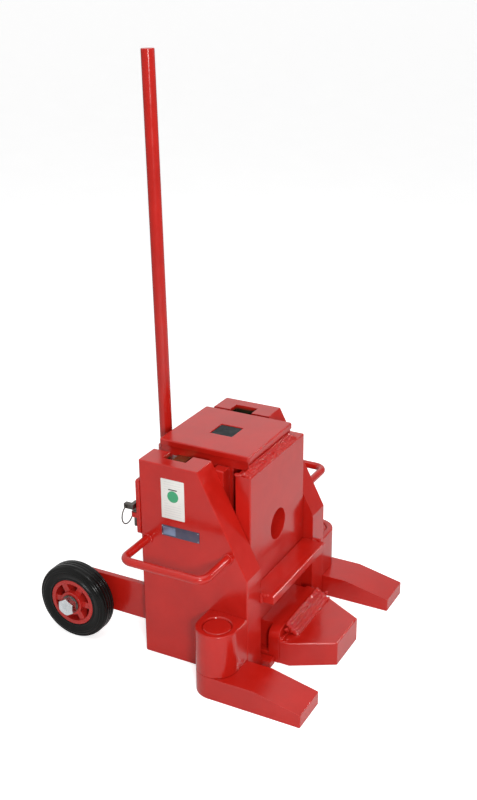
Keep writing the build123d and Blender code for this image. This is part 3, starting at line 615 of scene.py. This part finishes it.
class JACK_OT_finishes(bpy.types.Operator):
    """Make the finishes and give each node of the frame the one for its slot"""
    bl_idname = "jack.finishes"
    bl_label = "Finishes"

    def execute(self, context):
        paint = context.scene.jack_paint
        red, rim, gloss = tuple(paint.paint), tuple(paint.rim_paint), paint.gloss
        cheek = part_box("cheek_right")
        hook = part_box("spring_hooks")
        # The box inside the cheek pockets that gets painted shade: there the paint goes near black, standing
        # in for the shade of the recess
        pocket_shade = (
            cheek[0].x - 0.0005, hook[1].x + 0.0065, hook[0].y - 0.029, hook[1].y + 0.0015, cheek[1].z,
        )
        # Each finish: what makes it, then its colour and roughness and what else its maker takes
        recipes = {
            "red_paint": (gloss_paint, red, gloss),
            "weld_paint": (gloss_paint, red, gloss * 0.35, None, 0.0002, 0.0022),
            "cheek_paint": (gloss_paint, red, gloss, pocket_shade),
            "rim_paint": (gloss_paint, rim, gloss * 1.5),
            "machined_steel": (turned_steel, (0.42, 0.42, 0.42), 0.3),
            "chromed_steel": (turned_steel, (0.74, 0.75, 0.76), 0.08),
            "zinc_plate": (plated_metal, (0.76, 0.80, 0.82), 0.26, (0.62, 0.66, 0.68)),
            "yellow_zinc": (plated_metal, (0.44, 0.38, 0.16), 0.3, (0.30, 0.30, 0.13)),
            "black_knob": (moulded_rubber, (0.02, 0.02, 0.02), 0.35, 700.0),
            "tyre_rubber": (moulded_rubber, tuple(paint.rubber), 0.20, 900.0, 1.27, 0.06),
            "pad_rubber": (moulded_rubber, tuple(paint.pad), 0.55, 600.0, 1.22),
            "seal_rubber": (moulded_rubber, (0.018, 0.018, 0.018), 0.5, 900.0),
            "bush_bronze": (turned_steel, (0.50, 0.33, 0.14), 0.3),
            "dark_steel": (plated_metal, (0.16, 0.15, 0.14), 0.42, (0.10, 0.09, 0.08)),
            "name_plate": (plated_metal, (0.10, 0.105, 0.16), 0.38, (0.13, 0.12, 0.17)),
            "plate_field": (plated_metal, (0.20, 0.27, 0.42), 0.34, (0.26, 0.32, 0.46)),
            "sheet": (printed_sheet, (0.76, 0.75, 0.71), tuple(paint.disc), 0.051, 0.452, 0.0150),
        }
        finishes = {name: make("jack_" + name, *given) for name, (make, *given) in recipes.items()}
        finishes["pole_steel"] = finishes["red_paint"]
        for name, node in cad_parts.items():
            chosen = "rim_paint" if name.startswith("wheel_rim") else slot_of[name]
            # The cheeks get the paint with painted shade inside their pockets
            chosen = "cheek_paint" if name.startswith("cheek") else chosen
            chosen = "dark_steel" if name.startswith("linch_") and name != "linch_lug" else chosen
            node.material_slots[0].material = finishes[chosen]
        return {"FINISHED"}


class JACK_OT_rounded(bpy.types.Operator):
    """Round the edges of the plates, bars and castings that stand in view"""
    bl_idname = "jack.rounded"
    bl_label = "Rounded Plates"

    def execute(self, context):
        red = material("red_paint")
        zinc = material("zinc_plate")
        dark = material("dark_steel")
        # Each node: its body, the radius of its edges, where 0 leaves them sharp, and its finish
        plain = (
            ("head_plate", "carriage", 0.0012, red), ("front_plate", "carriage", 0.0012, red),
            ("toe_root", "carriage", 0.0015, red), ("toe", "carriage", 0.0012, red),
            ("pivot_bosses", "housing", 0.0028, red), ("wheel_arms", "housing", 0.0018, red),
            ("foot_left", "foot_arm_left", 0.0012, red), ("foot_right", "foot_arm_right", 0.0012, red),
            ("foot_pin_left", "foot_arm_left", 0.0012, red),
            ("foot_pin_right", "foot_arm_right", 0.0012, red),
            ("pump_body", "housing", 0.0018, red), ("oil_tank", "housing", 0.0015, red),
            ("lever_bracket", "housing", 0.0012, red), ("pump_lever", "lever", 0.0010, red),
            ("lifting_handle_left", "housing", 0.0, red), ("lifting_handle_right", "housing", 0.0, red),
            ("axle_bolts", "housing", 0.0008, zinc), ("axle_nuts", "housing", 0.0008, zinc),
            ("axle_washers", "housing", 0.0006, dark), ("axle_spacers", "housing", 0.0008, zinc),
            ("yoke_bolts", "housing", 0.0006, zinc), ("pressure_pipe", "housing", 0.0, zinc),
            ("filler_plug", "housing", 0.0006, zinc), ("pump_gland", "housing", 0.0006, zinc),
        )
        for node, body, radius, finish in plain:
            rounded_node(node, body, finish, radius)
        finish_piece(root_gussets(), "root_gussets", red, "carriage")
        return {"FINISHED"}


def root_gussets():
    """Two small blocks that join the toe's root to the foot of the front plate behind it."""
    root_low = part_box("toe_root")[0]
    plate_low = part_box("front_plate")[0]
    gussets = []
    for side in (-1, 1):
        clear_selection()
        bpy.ops.mesh.primitive_cube_add(
            size=1, location=(side * 0.1075, (root_low.y + 0.029 + plate_low.y) / 2, root_low.z + 0.0125),
            scale=(0.026, plate_low.y - root_low.y - 0.0294, 0.024),
        )
        piece = bpy.context.object
        bpy.ops.object.transform_apply(location=True, rotation=True, scale=True)
        edit(piece)
        bpy.ops.mesh.bevel(offset=0.0015, segments=2, affect="EDGES")
        close_edit()
        gussets.append(piece)
    return join(gussets)


class JACK_OT_pole(bpy.types.Operator):
    """Turn the long pole with its soft domed cap"""
    bl_idname = "jack.pole"
    bl_label = "Pole"

    def execute(self, context):
        rounded_node("pole", "lever", material("red_paint"), 0.0)
        low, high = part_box("pole")
        # The middle of the pole's top, its radius of 16 mm in from the rear of its box
        centre = Vector(((low.x + high.x) / 2, high.y - 0.0160, high.z - 0.0030))
        cap = turned(
            [(0.0, 0.0), (0.0118, 0.0), (0.0118, 0.0012), (0.0105, 0.0021), (0.0070, 0.0027), (0.0, 0.0029)],
            centre, (0, 0, 1), 48,
        )
        finish_piece(cap, "pole_cap", material("red_paint"), "lever")
        return {"FINISHED"}


class JACK_OT_wheels(bpy.types.Operator):
    """Turn the tyres with their grooves and side walls, and round the ribbed rims"""
    bl_idname = "jack.wheels"
    bl_label = "Wheels"

    def execute(self, context):
        wheels = context.scene.jack_wheels
        low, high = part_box("wheel_tyre_right")
        centre = (low + high) / 2
        half = (high.x - low.x) / 2
        outer = (high.z - low.z) / 2
        deep = wheels.groove
        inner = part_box("wheel_rim_right")
        seat = (inner[1].z - inner[0].z) / 2
        # Half of the outline as (radius, along): side wall with its groove, shoulder, tread with its grooves
        side = [
            (seat + 0.0002, half - 0.0048), (seat + 0.0020, half - 0.0020), (seat + 0.0046, half - 0.0012),
            (seat + 0.0064, half - 0.0030), (seat + 0.0086, half - 0.0022), (seat + 0.0150, half - 0.0004),
            (seat + 0.0200, half), (seat + 0.0215, half - deep * 0.55), (seat + 0.0232, half - deep * 0.55),
            (seat + 0.0247, half - 0.0004), (outer - 0.0105, half - 0.0010), (outer - 0.0082, half - 0.0038),
            (outer - 0.0070, half - 0.0040), (outer - 0.0048, half - 0.0030), (outer - 0.0020, half - 0.0056),
            (outer - 0.0006, half - 0.0096), (outer - 0.0006 - deep * 0.8, half - 0.0104),
            (outer - 0.0006 - deep * 0.8, half - 0.0120), (outer, half - 0.0128),
            (outer, half - 0.0200), (outer - deep, half - 0.0206), (outer - deep, half - 0.0228),
            (outer, half - 0.0234),
        ]
        outline = side + [(radius, -along) for radius, along in reversed(side)]
        tyre = turned(outline, centre, (1, 0, 0), wheels.steps)
        modify(tyre, "BEVEL", width=0.0004, segments=1, limit_method="ANGLE", angle_limit=math.radians(50))
        mate = twin(tyre, "tyre_left")
        mirror_across(mate)
        for piece, end in ((tyre, "right"), (mate, "left")):
            finish_piece(piece, "tyre_" + end, material("tyre_rubber"), "wheel_" + end, 40)
            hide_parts("wheel_tyre_" + end)
            rounded_node("wheel_rim_" + end, "wheel_" + end, material("rim_paint"), 0.0014)
        return {"FINISHED"}


class JACK_OT_springs(bpy.types.Operator):
    """Wind the two return springs in the cheek pockets"""
    bl_idname = "jack.springs"
    bl_label = "Return Springs"

    def execute(self, context):
        springs = context.scene.jack_springs
        for end in ("left", "right"):
            node = "return_spring_" + end
            low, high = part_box(node)
            centre = (low + high) / 2
            radius = (high.x - low.x) / 2 - springs.wire
            rise = high.z - low.z - springs.wire * 2
            clear_selection()
            bpy.ops.mesh.primitive_circle_add(
                vertices=8, radius=springs.wire, location=(radius, 0, 0), rotation=(math.pi / 2, 0, 0),
            )
            coil = bpy.context.object
            bpy.ops.object.transform_apply(location=True, rotation=True, scale=True)
            modify(
                coil, "SCREW", axis="Z", angle=math.tau, screw_offset=rise / springs.coils,
                iterations=springs.coils, steps=18, render_steps=18, use_merge_vertices=False,
            )
            edit(coil)
            bpy.ops.mesh.normals_make_consistent(inside=False)
            bpy.ops.mesh.select_all(action="DESELECT")
            bpy.ops.mesh.select_mode(type="VERT")
            bpy.ops.mesh.select_non_manifold()
            bpy.ops.mesh.edge_face_add()
            close_edit()
            coil.location = (centre.x, centre.y, low.z + springs.wire)
            finish_piece(coil, "coil_" + end, material("yellow_zinc"), None, 60)
            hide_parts(node)
            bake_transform(coil)
        return {"FINISHED"}


class JACK_OT_front_welds(bpy.types.Operator):
    """Lay the heavy runs at the toe's root and the beads round the head and the keeper bar"""
    bl_idname = "jack.front_welds"
    bl_label = "Front Welds"

    def execute(self, context):
        welds = context.scene.jack_welds
        chance = random.Random(welds.seed)
        lay_weld(toe_runs(welds.toe_bead, chance), welds.seed, 0.0011, "toe_weld", "carriage")
        lay_weld(head_runs(welds.plate_bead, chance), welds.seed + 1, 0.0012, "head_weld", "carriage")
        lay_weld(keeper_runs(welds.plate_bead, chance), welds.seed + 2, 0.0012, "keeper_weld", "housing")
        return {"FINISHED"}


def toe_runs(wide, chance):
    """The heavy courses down the toe's root, the runs round their ends and some spatter."""
    root_low, root_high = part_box("toe_root")
    toe_low, toe_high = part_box("toe")
    front, top, floor = root_low.y, root_high.z, toe_high.z
    near, far = toe_low.x * 0.52, toe_high.x * 0.86
    corner_x, behind = toe_low.x, front - 0.002
    runs = courses(front, (
        (near - 0.016, far - 0.004, 0.002, top - 0.003, wide * 0.9, wide, 1.4),
        (near - 0.004, far, 0.007, top - 0.010, wide * 0.62, wide * 0.6, 2.4),
        (near - 0.010, far - 0.010, 0.014, top - 0.017, wide * 0.62, wide * 0.62, 2.6),
        (near, far + 0.004, 0.021, floor + 0.006, wide * 0.62, wide * 0.62, 3.0),
        (near - 0.004, far + 0.006, 0.029, floor + 0.001, wide * 0.64, wide * 0.64, 3.2),
        (near - 0.010, far - 0.002, 0.005, floor + 0.006, 0.030, 0.022),
        (near - 0.006, far - 0.002, 0.016, floor + 0.002, 0.026, 0.012),
    ))
    runs += [
        (
            (corner_x + 0.006, behind, floor), (near, front - 0.004, floor + 0.002),
            wide * 0.8, wide * 0.7, 1.5,
        ),
        ((far, front - 0.003, floor + 0.002), (toe_high.x - 0.006, behind, floor), wide, wide * 0.8, 1.2),
        upright(corner_x + 0.003, behind, floor - 0.030, floor, wide * 0.6, wide * 0.6, 1.2),
    ]
    for end, way in ((near - 0.010, -1), (far - 0.002, 1)):
        bend = (end + way * 0.004, front - 0.016, top - 0.020)
        over = [(end, behind, top - 0.006), bend, (end, front - 0.029, floor)]
        runs += chained(over, wide * 1.2, wide * 1.1)
    return runs + scattered(chance, (
        ((far + 0.004, front - 0.012, floor + 0.008), (0.012, 0.009, 0.006), 12, 0.008, 0.013),
        ((far - 0.045, front - 0.007, top - 0.004), (0.050, 0.004, 0.003), 10, 0.008, 0.012),
        ((near - 0.018, front - 0.006, top - 0.010), (0.016, 0.004, 0.008), 7, 0.006, 0.010),
        ((corner_x + 0.012, front - 0.010, floor), (0.010, 0.010, 0.003), 7, 0.005, 0.009),
    ))


def head_runs(bead, chance):
    """The beads between the front plate and the head, some spatter and the curl at their near end."""
    plate_low, plate_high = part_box("front_plate")
    block_low, block_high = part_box("head_block")
    edge, deck = block_low.y, plate_high.z
    left, right = plate_low.x, block_high.x
    runs = courses(edge, (
        (left + 0.010, right - 0.002, 0.004, deck + 0.003, bead * 1.5, bead * 1.5, 1.2),
        (left + 0.006, right, 0.012, deck, bead * 1.4, bead * 1.3, 1.1),
        (left + 0.008, right - 0.020, 0.019, deck - 0.002, bead * 1.2, bead * 1.1, 1.2),
        (block_low.x + 0.002, right - 0.010, 0.002, deck + 0.011, bead * 0.8, bead, 1.6),
    ))
    runs += scattered(chance, (
        (((left + right) / 2, edge - 0.009, deck + 0.003), (0.115, 0.008, 0.003), 34, 0.007, 0.012),
        ((right - 0.006, edge - 0.010, deck + 0.003), (0.014, 0.007, 0.003), 8, 0.008, 0.012),
    ))
    curl = [
        Vector((left + 0.004 + 0.006 * math.cos(a), plate_high.y - 0.004 + 0.006 * math.sin(a), deck + 0.002))
        for a in [math.tau * i / 8 for i in range(9)]
    ]
    runs += chained(curl, bead * 0.6, bead * 0.6)
    tail = [(left + 0.004, edge + 0.014, deck + 0.001), (left + 0.008, edge - 0.002, deck + 0.002)]
    return runs + chained(tail, bead, bead * 0.8)


def keeper_runs(bead, chance):
    """The beads at the two ends of the keeper bar and their spatter."""
    bar_low, bar_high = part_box("keeper_bar")
    cheek_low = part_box("cheek_right")[0]
    front, above = cheek_low.y, bar_high.z + 0.001
    runs = []
    for side in (-1, 1):
        x = side * (cheek_low.x + 0.002)
        runs.append(upright(x, front - 0.002, bar_low.z + 0.002, bar_high.z - 0.002, bead, bead))
        runs.append(((x, front - 0.003, above), (x, front - 0.020, above), bead, bead))
        runs += spatter(chance, (x, front - 0.010, bar_high.z), (0.004, 0.010, 0.003), 5, 0.006, 0.010)
    return runs


class JACK_OT_housing_welds(bpy.types.Operator):
    """Lay the collars at the handles and the beads at the bosses, arms and rear plates"""
    bl_idname = "jack.housing_welds"
    bl_label = "Housing Welds"

    def execute(self, context):
        welds = context.scene.jack_welds
        right = weld_ripples(side_runs(welds.plate_bead), welds.seed + 3, 0.0012)
        left = twin(right, "side_weld_left")
        mirror_across(left)
        for piece, name in ((right, "side_weld_right"), (left, "side_weld_left")):
            finish_piece(piece, name, material("weld_paint"), "housing", WELD_SMOOTH_ANGLE)
        lay_weld(rear_runs(welds.plate_bead), welds.seed + 4, 0.0013, "rear_weld", "housing")
        return {"FINISHED"}


def side_runs(bead):
    """The collars where the right handle meets the cheek, and the beads beside the pivot boss."""
    side_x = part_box("cheek_right")[1].x
    handle_low, handle_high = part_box("lifting_handle_right")
    bar = (handle_high.z - handle_low.z) / 2
    handle_z = (handle_high.z + handle_low.z) / 2
    round_bar = bar + 0.0012
    runs = []
    for y in (handle_low.y + bar, handle_high.y - bar):
        collar = [
            (side_x + 0.0012, y + math.cos(turn) * round_bar, handle_z + math.sin(turn) * round_bar)
            for turn in [math.tau * i / 12 for i in range(13)]
        ]
        runs += chained(collar, bead * 0.72, bead * 0.72)
    boss_low, boss_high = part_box("pivot_bosses")
    boss_y = (boss_low.y + boss_high.y) / 2
    gap = 0.021
    thick = bead * 1.3
    for y in (boss_y - gap, boss_y + gap):
        runs.append(upright(side_x + 0.003, y, boss_low.z + 0.004, boss_high.z - 0.004, thick, thick))
    return runs


def rear_runs(bead):
    """The beads round the wheel arms, up the rear wall's seams and round the yoke plate."""
    cheek_low, cheek_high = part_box("cheek_right")
    arm_low, arm_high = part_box("wheel_arms")
    yoke_low, yoke_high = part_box("yoke_plate")
    rear = cheek_high.y
    at_arm, at_yoke = rear + 0.001, rear + 0.0015
    thin = bead * 0.7
    runs = []
    for side in (-1, 1):
        outer = side * arm_high.x
        inner = side * (arm_high.x - 0.014)
        for x in (outer, inner):
            runs.append(upright(x, at_arm, arm_low.z + 0.003, arm_high.z - 0.003, thin, thin))
        runs.append(across(inner, outer, at_arm, arm_high.z + 0.001, thin, thin))
        runs.append(upright(side * cheek_low.x, rear, 0.006, yoke_low.z - 0.004, thin, thin * 0.6))
        edge = side * yoke_high.x - side * 0.001
        runs.append(upright(edge, at_yoke, yoke_low.z + 0.006, yoke_high.z - 0.006, thin, thin))
    for z in (yoke_high.z, yoke_low.z):
        runs.append(across(yoke_low.x + 0.008, yoke_high.x - 0.008, at_yoke, z, thin, thin))
    return runs


def thin_plate(x, thickness, y0, y1, z0, z1, corner):
    """A thin plate on the cheek's outer face with rounded corners, standing out from x towards -X."""
    clear_selection()
    bpy.ops.mesh.primitive_cube_add(size=1, location=(x - thickness / 2, (y0 + y1) / 2, (z0 + z1) / 2))
    piece = bpy.context.object
    piece.scale = (thickness, y1 - y0, z1 - z0)
    bpy.ops.object.transform_apply(location=True, rotation=True, scale=True)
    edit(piece)
    select_edges(piece, lambda a, b: abs(a.x - b.x) > thickness / 2)
    bpy.ops.mesh.bevel(offset=corner, segments=5, affect="EDGES")
    select_faces(piece, lambda centre, normal: normal.x < -0.9)
    bpy.ops.mesh.bevel(offset=thickness * 0.35, segments=2, affect="EDGES")
    close_edit()
    return piece


class JACK_OT_labels(bpy.types.Operator):
    """Stick the blank sheet and the bare riveted plate on the cheek"""
    bl_idname = "jack.labels"
    bl_label = "Labels"

    def execute(self, context):
        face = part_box("cheek_left")[0].x - 0.0001
        # Each plate: its finish, how far out it starts, its thickness, its Y ends, its Z ends and its corners
        for name, finish, out, *shape in (
            ("blank_sheet", "sheet", 0.0, 0.0004, 0.020, 0.083, 0.3925, 0.4955, 0.0020),
            ("bare_plate", "name_plate", 0.0, 0.0010, -0.019, 0.084, 0.345, 0.373, 0.0015),
            ("bare_plate_field", "plate_field", 0.0009, 0.0005, 0.046, 0.080, 0.3485, 0.3695, 0.0008),
        ):
            finish_piece(thin_plate(face - out, *shape), name, material(finish), "housing")
        rivets = []
        for y in (-0.0155, 0.0822):
            for z in (0.3482, 0.3698):
                clear_selection()
                bpy.ops.mesh.primitive_uv_sphere_add(
                    segments=16, ring_count=8, radius=0.0014, location=(face - 0.0009, y, z),
                )
                bpy.context.object.scale.x = 0.6
                rivets.append(bpy.context.object)
        finish_piece(join(rivets), "plate_rivets", material("zinc_plate"), "housing")
        return {"FINISHED"}


class JACK_OT_stage(bpy.types.Operator):
    """Set out the pale floor, the soft lights and the camera"""
    bl_idname = "jack.stage"
    bl_label = "Studio"

    def execute(self, context):
        stage = context.scene.jack_stage
        clear_selection()
        bpy.ops.mesh.primitive_plane_add(size=stage.floor, location=(0, 0, -0.0002))
        floor = bpy.context.object
        floor.name = "studio_floor"
        floor.data.materials.append(floor_finish())

        # Each light: its place, what it points at, its power and the length of its sides
        for name, place, target, power, side in (
            ("overhead", (-0.3, -0.4, 3.0), (0, 0, 0.2), stage.soft, 3.2),
            ("key", (-2.40, -1.75, 1.50), (0, 0, 0.3), stage.key, 0.45),
            ("rim", (2.60, -1.95, 1.75), (0, -0.1, 0.3), stage.rim, 0.24),
            ("glint", (-1.15, -0.75, 2.80), (0, 0, 0.3), stage.glint, 0.30),
        ):
            square_light(name, place, target, power, side)
        context.scene.world = studio_air()
        context.scene.camera = photo_camera(stage.lens)
        context.scene.view_settings.view_transform = "Standard"
        return {"FINISHED"}


def square_light(name, place, target, power, side):
    """A square area light that points at a target."""
    light = bpy.data.lights.new(name, "AREA")
    light.shape = "RECTANGLE"
    light.size = side
    light.size_y = side
    light.energy = power
    lamp = bpy.data.objects.new(name, light)
    bpy.context.collection.objects.link(lamp)
    lamp.location = place
    lamp.rotation_euler = (Vector(target) - Vector(place)).to_track_quat("-Z", "Y").to_euler()


def studio_air():
    """Air that is white to the camera, soft grey as light, and in a gloss dark in front and bright behind."""
    world = bpy.data.worlds.new("studio_air")
    world.use_nodes = True
    tree = world.node_tree
    air = tree.nodes["Background"]
    air.inputs["Color"].default_value = (1.0, 1.0, 1.0, 1.0)
    ray = tree.nodes.new("ShaderNodeLightPath")
    way = tree.nodes.new("ShaderNodeTexCoord")
    split = tree.nodes.new("ShaderNodeSeparateXYZ")
    tree.links.new(way.outputs["Generated"], split.inputs[0])

    def level(value, low, high, to_low, to_high):
        """Map a range of values onto another, where each end may be a number or another node's output."""
        made = tree.nodes.new("ShaderNodeMapRange")
        for key, given in (
            ("Value", value), ("From Min", low), ("From Max", high), ("To Min", to_low), ("To Max", to_high),
        ):
            if isinstance(given, bpy.types.NodeSocket):
                tree.links.new(given, made.inputs[key])
            else:
                made.inputs[key].default_value = given
        return made.outputs["Result"]

    wall = level(split.outputs["Y"], AIR_FRONT_Y, AIR_BACK_Y, AIR_FRONT, AIR_BACK)
    lit = level(ray.outputs["Is Glossy Ray"], 0.0, 1.0, AIR_SOFT, wall)
    passed = tree.nodes.new("ShaderNodeMath")
    passed.operation = "MAXIMUM"
    tree.links.new(ray.outputs["Is Camera Ray"], passed.inputs[0])
    tree.links.new(ray.outputs["Is Transmission Ray"], passed.inputs[1])
    tree.links.new(level(passed.outputs[0], 0.0, 1.0, lit, 1.0), air.inputs["Strength"])
    return world


def photo_camera(focal_length):
    """The camera that sees the jack as the photograph does."""
    lens = bpy.data.cameras.new("photo_camera")
    lens.sensor_width = 36.0
    lens.sensor_fit = "AUTO"
    lens.lens = focal_length
    lens.clip_end = 400.0
    camera = bpy.data.objects.new("photo_camera", lens)
    bpy.context.collection.objects.link(camera)
    camera.matrix_world = photo_view()
    return camera


def photo_view():
    """The camera's place and turn: at the photograph's angle, with its slight roll."""
    yaw, pitch, roll = [math.radians(angle) for angle in CAMERA_TURN]
    forward = Vector((-math.sin(yaw) * math.cos(pitch), math.cos(yaw) * math.cos(pitch), -math.sin(pitch)))
    right = Vector((math.cos(yaw), math.sin(yaw), 0.0))
    down = forward.cross(right)
    side = right * math.cos(roll) + down * math.sin(roll)
    drop = down * math.cos(roll) - right * math.sin(roll)
    turn = Matrix((side, -drop, -forward)).transposed().to_4x4()
    return Matrix.Translation(CAMERA_PLACE) @ turn


def floor_finish():
    """A white studio floor that keeps a faint shadow."""
    mix = Recipe("studio_floor")
    mix.set(
        Base_Color=rgb((0.86, 0.86, 0.86)),
        Roughness=mix.spread(mix.noise(3.0, 3.0, 0.5), 0.3, 0.7, 0.75, 0.9),
    )
    glow = mix.node("ShaderNodeEmission")
    glow.inputs["Color"].default_value = (1.0, 1.0, 1.0, 1.0)
    ray = mix.node("ShaderNodeLightPath")
    passed = mix.sum("MAXIMUM", ray.outputs["Is Camera Ray"], ray.outputs["Is Transmission Ray"])
    mirrored = mix.sum("MULTIPLY", ray.outputs["Is Glossy Ray"], FLOOR_GLOW_MIRRORED)
    mix.feed(glow.inputs["Strength"], mix.sum("MAXIMUM", mix.sum("MULTIPLY", passed, FLOOR_GLOW), mirrored))
    both = mix.node("ShaderNodeAddShader")
    mix.feed(both.inputs[0], mix.shader.outputs[0])
    mix.feed(both.inputs[1], glow.outputs[0])
    mix.feed(mix.tree.nodes["Material Output"].inputs["Surface"], both.outputs[0])
    return mix.material


class JACK_PT_panel(bpy.types.Panel):
    """Lists the jack's operators and settings"""
    bl_idname = "JACK_PT_panel"
    bl_label = "Toe Jack"
    bl_space_type = "VIEW_3D"
    bl_region_type = "UI"
    bl_category = "Toe Jack"

    def draw(self, context):
        for step in STEPS:
            self.layout.operator(step.bl_idname)
        for group in settings():
            column = self.layout.column(align=True)
            for name in group.__annotations__:
                column.prop(group, name)


GROUPS = (
    ("jack_paint", PaintSettings), ("jack_welds", WeldSettings), ("jack_wheels", WheelSettings),
    ("jack_springs", SpringSettings), ("jack_stage", StageSettings),
)
STEPS = (
    JACK_OT_finishes, JACK_OT_rounded, JACK_OT_pole, JACK_OT_wheels, JACK_OT_springs, JACK_OT_front_welds,
    JACK_OT_housing_welds, JACK_OT_labels, JACK_OT_stage,
)


def register():
    """Register the settings, the operators and the panel."""
    for name, group in GROUPS:
        bpy.utils.register_class(group)
        setattr(bpy.types.Scene, name, PointerProperty(type=group))
    for step in STEPS:
        bpy.utils.register_class(step)
    bpy.utils.register_class(JACK_PT_panel)


def unregister():
    """Take away what register added."""
    bpy.utils.unregister_class(JACK_PT_panel)
    for step in reversed(STEPS):
        bpy.utils.unregister_class(step)
    for name, group in reversed(GROUPS):
        delattr(bpy.types.Scene, name)
        bpy.utils.unregister_class(group)


def main():
    """Register the settings, operators and panel, then run every step in turn."""
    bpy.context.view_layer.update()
    register()
    for step in STEPS:
        family, call = step.bl_idname.split(".")
        getattr(getattr(bpy.ops, family), call)()


if __name__ == "__main__":
    main()
